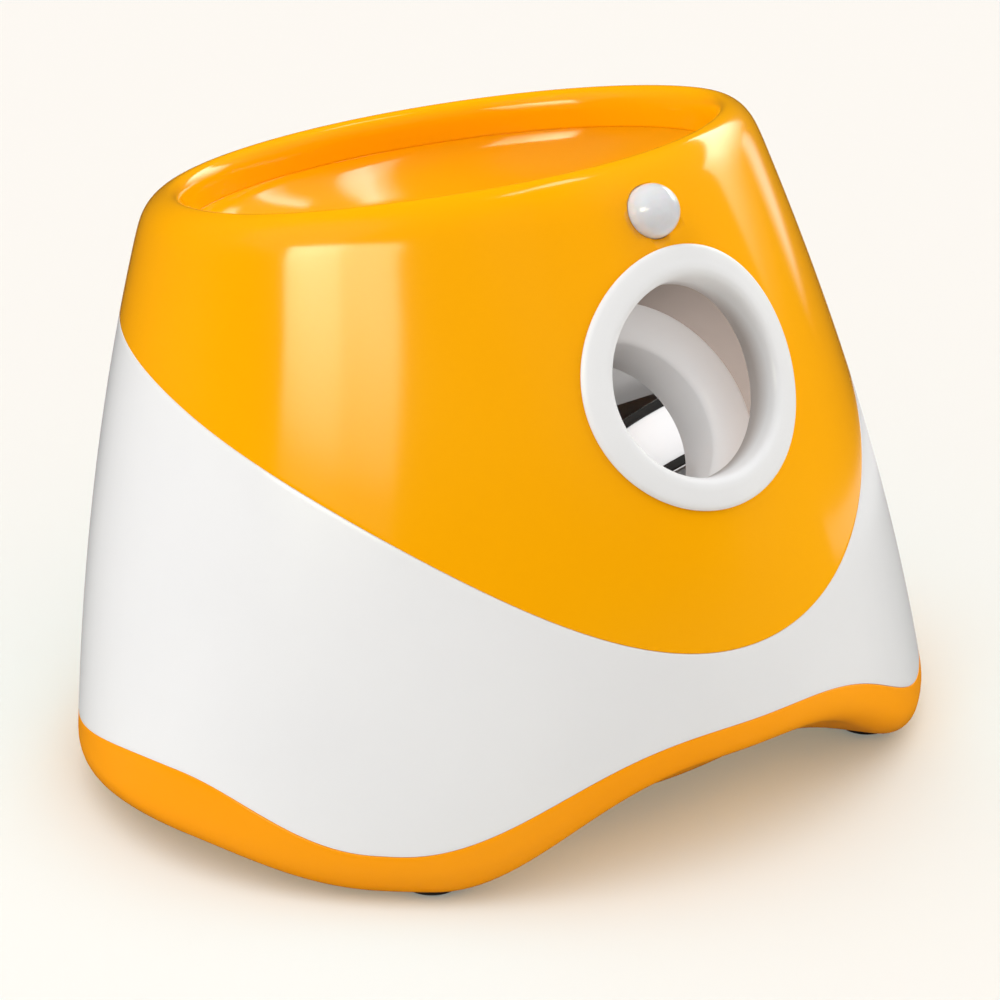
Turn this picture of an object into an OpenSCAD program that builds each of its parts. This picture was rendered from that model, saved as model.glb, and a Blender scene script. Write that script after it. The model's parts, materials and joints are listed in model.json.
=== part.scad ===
// Automatic ball launcher for small dogs: a hopper bowl feeds a ball to two spinning wheels,
// and they throw it out of a nozzle in the sloping front.
// Millimetres. +Z is up, the nozzle faces -Y, and the origin is on the floor under the body.

/* [Ball] */
// Diameter of the ball that it throws
ball_d = 50; // [49:0.1:51]
// Free room round the ball in the barrel, on the radius
ball_room = 1; // [0.7:0.1:1.5]

/* [Body outline] */
// Height between the four lines that give the body's outline
line_step = 65; // [63:0.5:67]
// Half width of the body at the floor
floor_half_w = 134.7; // [131:0.1:140]
// Half width one step up
low_half_w = 121.4; // [119:0.1:126]
// Half width two steps up
high_half_w = 104.2; // [102:0.1:108]
// Half width three steps up
top_half_w = 85.3; // [84:0.1:88]
// Half depth of the body at the floor
floor_half_d = 113.3; // [111:0.1:118]
// Half depth one step up
low_half_d = 113.2; // [111:0.1:117]
// Half depth two steps up
high_half_d = 101.8; // [100:0.1:105]
// Half depth three steps up
top_half_d = 75; // [73:0.1:77]
// How far the middle of the outline lies to the front at the floor
floor_lead = 6; // [4:0.1:8]
// How far it lies to the back one step up
low_lag = 1.2; // [0:0.1:3]
// How far it lies to the back two steps up
high_lag = 8.9; // [7:0.1:10]
// How far it lies to the back three steps up
top_lag = 17.9; // [16:0.1:20]
// Share by which the front corners draw in at the floor
floor_draw = 0.022; // [0:0.001:0.03]
// Share by which the front corners draw in three steps up
top_draw = 0.044; // [0.03:0.001:0.06]
// Wall of the two shells
shell_wall = 2.4; // [2:0.1:3]

/* [Rim and bowl] */
// Height of the slanted rim above the origin
rim_z = 179.2; // [177:0.1:181]
// Rise of the rim for each millimetre towards the front
rim_slope = 0.228; // [0.2:0.001:0.25]
// Width of the rolled rim
rim_w = 12.5; // [11.5:0.1:13.5]
// Depth of the rolled rim's inner lip
rim_lip = 12; // [10:0.1:14]
// Wall of the bowl
bowl_wall = 2.2; // [1.8:0.1:2.6]
// Height of the drop hole in the bowl
drop_z = 124; // [123:0.1:127]
// Place of the drop hole behind the origin
drop_y = 14; // [13:0.1:15]
// Free room round the ball in the drop hole, on the radius
drop_room = 3; // [2.5:0.1:3.5]
// Length of the spout under the drop hole
spout_l = 7; // [6:0.1:8]

/* [Parting line] */
// Radius of the arc that parts the two shells, seen from the side
parting_r = 262; // [250:1:275]
// Height of the arc's crest
parting_z = 129; // [127:0.1:131]
// Place of the crest behind the origin
parting_y = 60.3; // [55:0.1:65]
// Open seam between one moulding and the next
seam = 0.3; // [0.2:0.05:0.5]

/* [Base tray] */
// Wall of the base tray
tray_wall = 2.5; // [2.2:0.1:3]
// Radius of the tray's lower edge
edge_r = 9.5; // [9:0.5:11]
// Height of the flat belly above the floor
belly_z = 8; // [7.8:0.1:9]
// Trim height in the middle of the front
trim_front = 43.1; // [42:0.1:45]
// Trim height at the front corners
trim_corner = 15.3; // [15:0.1:18]
// Trim height at the sides
trim_side = 28.5; // [26:0.1:30]
// Trim height at the rear corners
trim_rear_corner = 15.5; // [15:0.1:18]
// Trim height in the middle of the rear
trim_rear = 25; // [22:0.1:28]
// Height of the arch under the front
arch_front = 31.5; // [30:0.1:33]
// Height of the edge under the four corners
arch_corner = 2.2; // [2:0.1:3]
// Height of the edge under the sides
arch_side = 8; // [7:0.1:9]
// Height of the edge under the rear
arch_rear = 9; // [8:0.1:11]
// Angle where the trim comes down to a front corner, from the front
corner_a = 50; // [48:0.5:52]
// Angle where the edge under it comes down to the corner's lobe
lobe_a = 45; // [43:0.5:47]
// Angle where both leave the front corner
corner_end = 53; // [52:0.5:55]
// Angle of the side crest, from the front
side_a = 83.5; // [82:0.5:88]
// Angle of the rear corners, from the front
rear_a = 132; // [128:0.5:136]
// How flat the crown of the front arch is
arch_flat = 1.55; // [1.4:0.05:1.7]
// Diameter of a rubber foot
foot_d = 16; // [14:0.5:17]
// Height of a rubber foot
foot_h = 6; // [5:0.1:6.5]
// Distance of the front feet from the outline
foot_inset = 17.5; // [16.5:0.5:20]
// Distance of the rear feet from the outline
rear_foot_inset = 26; // [25:0.5:28]

/* [Nozzle] */
// Place of the nozzle's middle in front of the origin
mouth_y = 91.2; // [90:0.1:92]
// Height of the nozzle's middle
mouth_z = 138.7; // [138:0.1:140]
// Slope of the front where the nozzle lies
mouth_tilt = 26.5; // [25:0.5:28]
// Radius of the nozzle ring
ring_r = 37.2; // [36.5:0.1:38]
// How proud the nozzle ring stands
ring_proud = 1.8; // [1.4:0.1:2.2]
// Radius of the throat inside the ring
throat_r = 27.6; // [27.2:0.1:28]
// Depth of the spigot behind the ring
spigot_l = 11; // [9:0.5:12]

/* [Launch frame] */
// Angle at which the ball leaves
launch_tilt = 40; // [39:0.5:41]
// Distance of the wheels' axles from the nozzle's middle
nip_depth = 75; // [74:0.5:76]
// Radius of a wheel over its rubber bands
wheel_r = 30; // [29.5:0.1:30.3]
// How far the two wheels together squeeze the ball
squeeze = 5; // [4:0.1:6]
// Width of a wheel's tread
tread_w = 21; // [20:0.5:22]
// Width of a rubber band
band_w = 2.6; // [2.2:0.1:3]
// How proud the rubber bands stand
band_proud = 1; // [0.8:0.1:1.2]
// Depth of the groove that holds a rubber band
band_groove = 0.8; // [0.6:0.1:1]
// Thickness of the frame's plates
plate_t = 2.4; // [2.2:0.1:3]
// Wall of the barrel and of the well
barrel_wall = 2; // [1.8:0.1:2.4]
// Radius of the well between the barrel and the nozzle
well_r = 37; // [36.5:0.1:37.5]
// Length of the barrel's flared end
flare_l = 5; // [4:0.1:6]
// Motor can radius
motor_r = 12.2; // [12:0.1:12.5]
// Motor can length
motor_l = 31; // [29:0.5:32]
// Motor shaft radius
motor_shaft_r = 1.15; // [1:0.05:1.3]

/* [Feed] */
// Distance of the waiting ball's middle behind the wheels
cradle_y = 30; // [29:0.1:31]
// Distance of the feed shaft behind the wheels
feed_y = 60; // [59.5:0.1:61]
// Distance of the feed shaft below the barrel's middle
feed_z = 30; // [29.5:0.1:31]
// Radius of the feed shaft
feed_shaft_r = 2.5; // [2.3:0.05:2.7]
// Length of the feed arm above its shaft
feed_arm_l = 36; // [34:0.5:37]

/* [Battery] */
// Diameter of a battery cell
cell_d = 26; // [25.8:0.1:26.2]
// Length of a battery cell
cell_l = 50; // [49:0.1:50]

/* [Rear panel] */
// Width of the rear panel
panel_w = 64; // [62:0.5:66]
// Height of the rear panel
panel_h = 36; // [35:0.5:38]
// Height of the panel's middle
panel_z = 80; // [78:0.5:82]
// Depth of the panel's floor below the middle of the rear
panel_sunk = 6.5; // [6:0.1:7]
// Radius of the power button
button_r = 7; // [6.5:0.1:7.2]
// Travel of the power button
button_travel = 1.5; // [1:0.1:1.8]
// Radius of the distance knob
knob_r = 8.5; // [8:0.1:9]

/* [Sensor] */
// Height of the sensor lens
sensor_z = 180; // [179:0.1:181]
// Slope of the front where the lens lies
sensor_tilt = 32; // [30:0.5:34]
// Radius of the lens
lens_r = 7.8; // [7.6:0.1:8.1]

/* [Hidden] */
$fn = 64;

ring_steps = 72;
// Running clearance on the radius, and the gap between parts that slide or drop in
run_gap = 0.06;
slip = 0.2;
// Gear teeth, and their module in millimetres
gear_teeth = 28;
pinion_teeth = 12;
gear_module = 1;

// ---- outline of the body ----

function mix(a, b, f) = a + (b - a) * f;
function ease(f) = (1 - cos(180 * f)) / 2;
function through_four(v, z) = let (t = z / line_step)
    -v[0] * (t - 1) * (t - 2) * (t - 3) / 6 + v[1] * t * (t - 2) * (t - 3) / 2
    - v[2] * t * (t - 1) * (t - 3) / 2 + v[3] * t * (t - 1) * (t - 2) / 6;
function half_w(z) = through_four([floor_half_w, low_half_w, high_half_w, top_half_w], z);
function half_d(z) = through_four([floor_half_d, low_half_d, high_half_d, top_half_d], z);
function mid_y(z) = through_four([-floor_lead, low_lag, high_lag, top_lag], z);
function draw_at(z) = mix(floor_draw, top_draw, z / (3 * line_step));
function drawn(a, z) = cos(a) > 0 ? 1 - draw_at(z) * pow(sin(2 * a), 2) : 1;
// A point of the outline at angle a from the front, towards +X, height z, moved in by inset
function skin(a, z, inset = 0) =
    [(half_w(z) - inset) * sin(a) * drawn(a, z), mid_y(z) - (half_d(z) - inset) * cos(a) * drawn(a, z), z];
function outline_ring(z, inset = 0) = [for (i = [0:ring_steps - 1]) skin(ring_angle(i), z, inset)];
function ring_angle(i) = 360 * i / ring_steps;
function turned(a) = abs(a > 180 ? a - 360 : a);

// Front face: the y of the outline at a place x, z
function front_share(x, z, s, n) =
    n == 0 ? s : front_share(x, z, x / half_w(z) / (1 - 4 * draw_at(z) * s * s * (1 - s * s)), n - 1);
function front_y(x, z) = let (s = front_share(x, z, x / half_w(z), 5))
    mid_y(z) - half_d(z) * sqrt(1 - s * s) * (1 - 4 * draw_at(z) * s * s * (1 - s * s));

// Parting of the shells, an arc seen from the side; it ends where it meets the outline
function parting_at(y) = parting_z - parting_r + sqrt(pow(parting_r, 2) - pow(y - parting_y, 2));
function parting_on(a, z, n) = n == 0 ? z : parting_on(a, parting_at(skin(a, z)[1]), n - 1);
function seam_z(a) = parting_on(a, parting_z, 9);

// The slanted rim at angle a, moved in by inset and down by drop
function rim_on(a, inset, z, n) = n == 0 ? z : rim_on(a, inset, rim_z - rim_slope * skin(a, z, inset)[1],
    n - 1);
function rim_top(a, inset = 0) = rim_on(a, inset, rim_z, 7);
function rim_point(a, inset, drop) = skin(a, rim_top(a, inset) - drop, inset);

// The waved line of the trim, and of the edge under it
function wave(a, down_a, front, corner, side, rear_corner, rear) = let (b = turned(a))
    b < down_a ? mix(front, corner, ease(pow(sin(b) / sin(down_a), arch_flat)))
    : b < corner_end ? corner
    : b < side_a ? mix(corner, side, ease((b - corner_end) / (side_a - corner_end)))
    : b < rear_a ? mix(side, rear_corner, ease((b - side_a) / (rear_a - side_a)))
    : mix(rear_corner, rear, ease((b - rear_a) / (180 - rear_a)));
function trim_z(a) = wave(a, corner_a, trim_front, trim_corner, trim_side, trim_rear_corner, trim_rear);
function under_z(a) = wave(a, lobe_a, arch_front, arch_corner, arch_side, arch_corner, arch_rear);

// ---- skins made of rings of points ----

function quad(i, j, k, l) = [[i, l, k], [i, k, j]];
function ring_faces(m, n, closed) = [for (i = [0:m - (closed ? 1 : 2)], j = [0:n - 1])
    each quad(i * n + j, i * n + (j + 1) % n, ((i + 1) % m) * n + (j + 1) % n, ((i + 1) % m) * n + j)];

module hollow_skin(rings) {
    polyhedron([for (r = rings) each r], ring_faces(len(rings), len(rings[0]), true));
}

module solid_skin(rings) {
    n = len(rings[0]);
    m = len(rings);
    polyhedron([for (r = rings) each r], concat(ring_faces(m, n, false),
        [[for (j = [0:n - 1]) j], [for (j = [n - 1:-1:0]) (m - 1) * n + j]]));
}

// The whole body as a block, moved in by inset: what joins a wall is trimmed to it
module body_block(inset, z_from, z_to) {
    rows = 8;
    solid_skin([for (r = [0:rows]) outline_ring(mix(z_from, z_to, r / rows), inset)]);
}

module rounded_plate(w, h, r, t) {
    rotate([90, 0, 0]) linear_extrude(t) hull()
        for (x = [-1, 1], z = [-1, 1]) translate([x * (w / 2 - r), z * (h / 2 - r)]) circle(r, $fn = 32);
}

module tube(r_out, r_in, h) {
    difference() {
        cylinder(h, r_out, r_out);
        translate([0, 0, -1]) cylinder(h + 2, r_in, r_in);
    }
}

module pan_screw(r, l, head_r, head_h) {
    slot_w = head_r * 0.3;
    cylinder(l, r, r);
    difference() {
        translate([0, 0, -head_h]) cylinder(head_h, head_r, head_r);
        for (turn = [0, 90]) rotate(turn)
            translate([-head_r * 0.6, -slot_w / 2, -head_h - 1]) cube([head_r * 1.2, slot_w, 1 + head_h / 2]);
    }
}

// ---- joints between the mouldings ----

screw_r = 1.5;
screw_head_r = 2.8;
screw_head_h = 2;
lug_r = 4.4;
lug_l = 12;
lug_inset = 9.5;
web_t = 2.6;
seam_lugs = [28, 80, 130, -28, -80, -130];
base_lugs = [54, 90, 131, -54, -90, -131];
tray_floor = belly_z + tray_wall;

function lug_at(a, z) = skin(a, z, lug_inset);
function seam_lug_z(a) = seam_z(a) - 2;
function base_lug_z(a) = trim_z(a) - 1;

// A lug standing at z and l long, with a web to the wall that starts web_from above its foot
module lug(a, at_z, z, l, web_from = 0.6) {
    p = lug_at(a, at_z);
    web_to = l - 0.6;
    wall = skin(a, at_z, shell_wall / 2);
    function reach(h) = let (q = skin(a, h, shell_wall / 2)) norm([q[0] - p[0], q[1] - p[1]]);
    translate([p[0], p[1], z]) {
        cylinder(l, lug_r, lug_r);
        rotate(atan2(wall[1] - p[1], wall[0] - p[0])) rotate([90, 0, 0]) translate([0, 0, -web_t / 2])
            linear_extrude(web_t)
                polygon([[0, web_from], [reach(z + web_from), web_from], [reach(z + web_to), web_to],
                    [0, web_to]]);
    }
}

module lug_hole(a, at_z, z, l, r) {
    p = lug_at(a, at_z);
    translate([p[0], p[1], z]) cylinder(l, r, r);
}

// ---- outer mouldings ----

rim_profile = [[0, 9], [0.5, 5.6], [1.8, 2.9], [3.8, 0.9], [6.3, 0], [8.8, 0.8], [10.8, 2.8], [12, 5.6]];
bowl_lugs = [35, 110, -35, -110];
bowl_boss_r = 3;
bowl_boss_l = 10;
bowl_boss_drop = 22;
boss_inset = 5.4;
// Foot of the boss that holds the bowl at angle a
function bowl_boss(a) = let (p = skin(a, rim_top(a) - bowl_boss_drop + bowl_boss_l / 2, boss_inset))
    [p[0], p[1], p[2] - bowl_boss_l / 2];
sensor_y = front_y(0, sensor_z);

module at_nozzle() {
    translate([0, -mouth_y, mouth_z]) rotate([90 - mouth_tilt, 0, 0]) children();
}

module at_sensor() {
    translate([0, sensor_y, sensor_z]) rotate([90 - sensor_tilt, 0, 0]) children();
}

spigot_r = throat_r + 2.6;
ring_hole_r = spigot_r + 0.4;

module upper_shell() {
    wall_rows = 7;
    scale_rim = rim_w / 12.5;
    lip_in = rim_w;
    outer = [for (r = [0:wall_rows]) [for (i = [0:ring_steps - 1]) let (a = ring_angle(i))
        skin(a, mix(seam_z(a) + seam / 2, rim_top(a) - rim_profile[0][1] - 5, r / wall_rows))]];
    rim = [for (p = rim_profile) [for (i = [0:ring_steps - 1])
        rim_point(ring_angle(i), p[0] * scale_rim, p[1])]];
    lip = [for (p = [[lip_in, rim_lip], [lip_in - shell_wall, rim_lip], [lip_in - shell_wall, 7], [8.6, 3.4],
        [6.3, 2.4], [4.4, 3.6], [shell_wall, 9]])
            [for (i = [0:ring_steps - 1]) rim_point(ring_angle(i), p[0], p[1])]];
    inner = [for (r = [wall_rows:-1:0]) [for (i = [0:ring_steps - 1]) let (a = ring_angle(i))
        skin(a, mix(seam_z(a) + seam / 2, rim_top(a) - rim_profile[0][1] - 5, r / wall_rows), shell_wall)]];
    color("orange") difference() {
        union() {
            hollow_skin(concat(outer, rim, lip, inner));
            for (a = seam_lugs) lug(a, seam_z(a), seam_lug_z(a), lug_l, 4);
            for (a = bowl_lugs) translate(bowl_boss(a)) cylinder(bowl_boss_l, bowl_boss_r, bowl_boss_r);
        }
        at_nozzle() cylinder(60, ring_hole_r, ring_hole_r, center = true);
        at_sensor() cylinder(24, lens_r + slip, lens_r + slip, center = true);
        for (a = seam_lugs) lug_hole(a, seam_z(a), seam_lug_z(a) - 1, lug_l - 2, screw_r);
        for (a = bowl_lugs) translate(bowl_boss(a) - [0, 0, 1]) cylinder(bowl_boss_l - 0.6, screw_r, screw_r);
    }
}

panel_y = mid_y(panel_z) + half_d(panel_z) - panel_sunk;
panel_r = 9;

module lower_shell() {
    wall_rows = 6;
    outer = [for (r = [0:wall_rows]) [for (i = [0:ring_steps - 1]) let (a = ring_angle(i))
        skin(a, mix(trim_z(a) + seam / 2, seam_z(a) - seam / 2, r / wall_rows))]];
    inner = [for (r = [wall_rows:-1:0]) [for (i = [0:ring_steps - 1]) let (a = ring_angle(i))
        skin(a, mix(trim_z(a) + seam / 2, seam_z(a) - seam / 2, r / wall_rows), shell_wall)]];
    color("white") difference() {
        union() {
            hollow_skin(concat(outer, inner));
            for (a = seam_lugs) lug(a, seam_z(a), seam_lug_z(a) - lug_l, lug_l);
            for (a = base_lugs) lug(a, trim_z(a), base_lug_z(a), lug_l, 3);
        }
        for (a = seam_lugs) lug_hole(a, seam_z(a), seam_lug_z(a) - lug_l - 1, lug_l + 2, screw_r + slip);
        for (a = base_lugs) lug_hole(a, trim_z(a), base_lug_z(a) - 1, lug_l - 2, screw_r);
        translate([0, panel_y + 40, panel_z])
            rounded_plate(panel_w + 2 * slip, panel_h + 2 * slip, panel_r, 60);
    }
}

// The tray's surface at angle a: outside where grow is 0, inside where grow is the wall
function tray_point(a, turn, grow) = let (r = edge_r - grow)
    skin(a, max(under_z(a) + edge_r - r * cos(turn), grow == 0 ? 0 : tray_floor), edge_r - r * sin(turn));
function belly_point(a, inset, share, grow) =
    skin(a, max(mix(under_z(a), belly_z, share) + grow, grow == 0 ? 0 : tray_floor), inset);
function tray_ring(turn, grow) = [for (i = [0:ring_steps - 1]) tray_point(ring_angle(i), turn, grow)];
function belly_ring(inset, share, grow) =
    [for (i = [0:ring_steps - 1]) belly_point(ring_angle(i), inset, share, grow)];
function trim_ring(inset) = [for (i = [0:ring_steps - 1])
    skin(ring_angle(i), trim_z(ring_angle(i)) - seam / 2, inset)];

belly_steps = [[47, 1], [37, 0.8], [27, 0.42], [19, 0.12]];
edge_turns = [0, 22.5, 45, 67.5, 90];
belly_middle = 75;
feet = [[46, foot_inset], [-46, foot_inset], [134, rear_foot_inset], [-134, rear_foot_inset]];

cell_gap = 0.4;
box_wall = 2;
box_in_x = 2 * cell_l + 8;
box_in_y = 3 * (cell_d + cell_gap) + cell_gap;
box_y = 12;
box_top = tray_floor + cell_d + 3;
door_t = 2.2;
door_lap = 2.4;
door_half = box_in_x / 2 + door_lap;
rail_w = 3;

module foot_place() {
    for (f = feet) let (p = skin(f[0], 0, f[1])) translate([p[0], p[1], 0]) children();
}

frame_feet = [[82, -55], [82, -17], [-82, -55], [-82, -17]];
box_feet = [[62.5, 27], [62.5, 71], [-62.5, 27], [-62.5, 71]];
boss_h = 6;
boss_r = 4.6;

module base_tray() {
    color("orange") difference() {
        union() {
            difference() {
                solid_skin(concat(
                    [belly_ring(belly_middle, 1, 0)],
                    [for (s = belly_steps) belly_ring(s[0], s[1], 0)],
                    [for (t = edge_turns) tray_ring(t, 0)],
                    [trim_ring(0), trim_ring(tray_wall)],
                    [for (t = [len(edge_turns) - 1:-1:0]) tray_ring(edge_turns[t], tray_wall)],
                    [for (s = [len(belly_steps) - 1:-1:0])
                        belly_ring(belly_steps[s][0], belly_steps[s][1], tray_wall)],
                    [belly_ring(belly_middle, 1, tray_wall)]));
                // Room for the battery door below the belly
                translate([-door_half - slip, box_y - 3.4, -1])
                    cube([2 * (door_half + slip), box_in_y + 6.8, belly_z + 1]);
                // Seat of the battery box
                translate([-box_in_x / 2 - box_wall, box_y - box_wall, tray_floor])
                    cube([box_in_x + 2 * box_wall, box_in_y + 2 * box_wall, 10]);
            }
            for (a = base_lugs) let (p = lug_at(a, trim_z(a)))
                translate([p[0], p[1], tray_floor - 1.2])
                    cylinder(base_lug_z(a) - tray_floor + 1.2, lug_r, lug_r);
            for (f = concat(frame_feet, box_feet))
                translate([f[0], f[1], tray_floor - 1]) cylinder(boss_h + 1, boss_r, boss_r);
            for (x = [-1, 1]) mirror([x > 0 ? 1 : 0, 0, 0]) door_rail();
        }
        translate([-box_in_x / 2, box_y, belly_z - 10]) cube([box_in_x, box_in_y, 20]);
        foot_place() translate([0, 0, -1]) cylinder(foot_h + 1, foot_d / 2, foot_d / 2);
        for (a = base_lugs) {
            lug_hole(a, trim_z(a), -1, base_lug_z(a) + 3, screw_r + slip);
            lug_hole(a, trim_z(a), -1, base_head_z(a) + 1, screw_head_r + slip);
        }
        for (f = concat(frame_feet, box_feet))
            translate([f[0], f[1], tray_floor - 0.5]) cylinder(boss_h + 1, screw_r, screw_r);
    }
}

function base_head_z(a) = base_lug_z(a) - 5;

// One of the two rails that the battery door slides on
module door_rail() {
    rail_x = door_half + slip;
    translate([rail_x, box_y, belly_z - door_t - slip - 1.2])
        cube([rail_w, box_in_y - 12, door_t + slip + 1.8]);
    translate([rail_x - 1.6, box_y, belly_z - door_t - 2 * slip - 1.2])
        cube([rail_w + 1.6, box_in_y - 12, 1.2]);
}

module rubber_feet() {
    color("black") foot_place() {
        cylinder(1, foot_d / 2 - 1, foot_d / 2);
        translate([0, 0, 1]) cylinder(foot_h - 1, foot_d / 2, foot_d / 2);
    }
}

// ---- hopper bowl ----

drop_r = ball_d / 2 + drop_room;
bowl_steps = 10;
front_round = 0.03;
rear_round = 0.65;
ear_t = 3;

// How far the bowl's side bulges at angle a, from a straight cone at 0 to a quarter ellipse at 1
function bowl_round(a) = mix(front_round, rear_round, (1 - cos(a)) / 2);
function bowl_point(a, f, out) = let (
    top = rim_point(a, rim_w - out, rim_lip + seam),
    low = [(drop_r + out) * sin(a), drop_y - (drop_r + out) * cos(a), drop_z - out],
    turn = 90 * f,
    across = mix(f, 1 - cos(turn), bowl_round(a)),
    down = mix(f, sin(turn), bowl_round(a)))
    [mix(top[0], low[0], across), mix(top[1], low[1], across), mix(top[2], low[2], down)];

function bowl_ring(f, out) = [for (i = [0:ring_steps - 1]) bowl_point(ring_angle(i), f, out)];

module bowl_ear(a) {
    boss = bowl_boss(a);
    steep = mix(1, PI / 2, bowl_round(a));
    ear_z = boss[2] - ear_t / 2;
    top_z = bowl_point(a, 0, 0)[2];
    wall = bowl_point(a, (top_z - ear_z) / (top_z - drop_z) / steep, bowl_wall / 2);
    reach = norm([boss[0] - wall[0], boss[1] - wall[1]]);
    translate([boss[0], boss[1], boss[2] - ear_t]) {
        cylinder(ear_t, bowl_boss_r + 0.8, bowl_boss_r + 0.8);
        rotate(atan2(wall[1] - boss[1], wall[0] - boss[0])) translate([0, -4, 0]) cube([reach, 8, ear_t]);
    }
}

module hopper_bowl() {
    color("orange") difference() {
        union() {
            hollow_skin(concat(
                [for (r = [bowl_steps:-1:0]) bowl_ring(r / bowl_steps, bowl_wall)],
                [for (r = [0:bowl_steps]) bowl_ring(r / bowl_steps, 0)]));
            translate([0, drop_y, drop_z - spout_l])
                tube(drop_r + bowl_wall - 0.01, drop_r, spout_l - bowl_wall / 2);
            for (a = bowl_lugs) bowl_ear(a);
        }
        for (a = bowl_lugs) translate(bowl_boss(a) - [0, 0, ear_t + 1])
            cylinder(ear_t + 2, screw_r + slip, screw_r + slip);
    }
}

// ---- nozzle ----

function nozzle_lift(x, up, t, n) = n == 0 ? t
    : nozzle_lift(x, up, (-mouth_y + up * sin(mouth_tilt)
        - front_y(x, mouth_z + up * cos(mouth_tilt) + t * sin(mouth_tilt))) / cos(mouth_tilt), n - 1);
function nozzle_point(r, b, lift) = let (x = r * sin(b), up = r * cos(b), t = nozzle_lift(x, up, 0, 7) + lift)
    [x, -mouth_y + up * sin(mouth_tilt) - t * cos(mouth_tilt),
        mouth_z + up * cos(mouth_tilt) + t * sin(mouth_tilt)];

module nozzle_ring() {
    steps = 60;
    p = ring_proud;
    section = [[ring_r, seam], [ring_r, p * 0.5], [ring_r - 0.5, p * 0.85], [ring_r - 1.6, p],
        [throat_r + 5, p], [throat_r + 3, p * 0.85], [throat_r + 1.4, p * 0.4], [throat_r + 0.4, -1],
        [throat_r, -4], [throat_r, -spigot_l], [spigot_r, -spigot_l], [spigot_r, seam]];
    color("white") hollow_skin([for (s = section)
        [for (i = [0:steps - 1]) nozzle_point(s[0], -360 * i / steps, s[1])]]);
}

// ---- launch frame: its own axes have the ball's path along -Y and the wheels' axles along Z ----

nip_y = -mouth_y + nip_depth * cos(launch_tilt);
nip_z = mouth_z - nip_depth * sin(launch_tilt);

module in_frame() {
    translate([0, nip_y, nip_z]) rotate([-launch_tilt, 0, 0]) children();
}

function from_frame(x, y, z) = [x, nip_y + y * cos(launch_tilt) + z * sin(launch_tilt),
    nip_z - y * sin(launch_tilt) + z * cos(launch_tilt)];

barrel_r = ball_d / 2 + ball_room;
wheel_x = (ball_d - squeeze) / 2 + wheel_r;
flare_from = 34;
flare_to = flare_from + flare_l;
barrel_from = 19;
plate_in = barrel_r;
plate_out = plate_in + plate_t;
plate_x = 86;
plate_rear = 44;

module launch_barrel() {
    flare_in = well_r - 1 - barrel_r;
    trumpet = [for (t = [0:10:90]) [barrel_r + flare_in * (1 - cos(t)), flare_from + flare_l * sin(t)]];
    back = [for (t = [90:-15:0]) [barrel_r + barrel_wall + (flare_in - 0.6) * (1 - cos(t)),
        flare_from - barrel_wall + flare_l * sin(t)]];
    color("white") in_frame() difference() {
        union() {
            rotate([90, 0, 0]) rotate_extrude($fn = 96)
                polygon(concat([[barrel_r, barrel_from + slip]], trumpet,
                [[well_r + barrel_wall, flare_to], [well_r + barrel_wall, flare_to - 2]], back,
                [[barrel_r + barrel_wall, barrel_from + slip]]));
            // Ears that are screwed to the front posts
            for (s = [0, 1]) mirror([s, 0, 0]) translate([0, 0, -6]) linear_extrude(12) polygon([
                [flange_r - 0.6, -flare_to], [flange_r + 1.4, -flare_to], [flange_r + 1.4, ear_y],
                [50, ear_y], [50, ear_y + 2], [flange_r - 0.6, ear_y + 2]]);
        }
        for (s = [-1, 1]) translate([s * post_places[0][0], ear_y - 1, 0]) rotate([-90, 0, 0])
            cylinder(4, 1.3, 1.3);
    }
}

module nozzle_well() {
    color("gainsboro") intersection() {
        in_frame() translate([0, -flare_to, 0]) rotate([90, 0, 0])
            tube(well_r + barrel_wall, well_r, nip_depth);
        body_block(shell_wall + 4, 60, 3 * line_step);
    }
}

// Side walls that guide the ball behind the wheels and hold the feed shaft
guide_in = barrel_r + 0.5;
guide_t = 3;
bush_r = 4.5;
gear_play = 0.16;
gear_lean = 36.53;
gear_apart = gear_module * (gear_teeth + pinion_teeth) / 2 + gear_play;
pinion_y = feed_y - gear_apart * cos(gear_lean);
pinion_z = -feed_z - gear_apart * sin(gear_lean);
motor_plate_x = 39;
lever_y = 12;
lever_z = -plate_out - 4;
lever_pin_r = 1;
post_r = 3.6;
flange_r = well_r + barrel_wall;
ear_y = -wheel_r - 2.6;
post_front = ear_y - post_r;
post_places = [[46, post_front], [79, 40], [-46, post_front], [-79, 40]];
arm_in = well_r + barrel_wall + 1.4;
arm_out = 52;

// Half of a plate seen along the wheels' axles: an arm runs forward beside the well
module plate_half(rear) {
    polygon([[-0.01, -barrel_from], [arm_in, -barrel_from], [arm_in, post_front - 5],
        [arm_out, post_front - 5],
        [arm_out + 8, post_front + 11], [plate_x, -6], [plate_x, rear], [-0.01, rear]]);
}

module side_bracket() {
    // Bracket from the sloping plate down to the tray's bosses
    top_front = from_frame(0, -4, -plate_in - plate_t / 2);
    top_rear = from_frame(0, plate_rear, -plate_in - plate_t / 2);
    foot_z = tray_floor + boss_h;
    rotate([90, 0, 90]) linear_extrude(3) polygon([[top_front[1], top_front[2]],
        [top_rear[1], top_rear[2]], [top_rear[1] + 4, foot_z], [-61, foot_z], [-63, 44]]);
}

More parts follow.
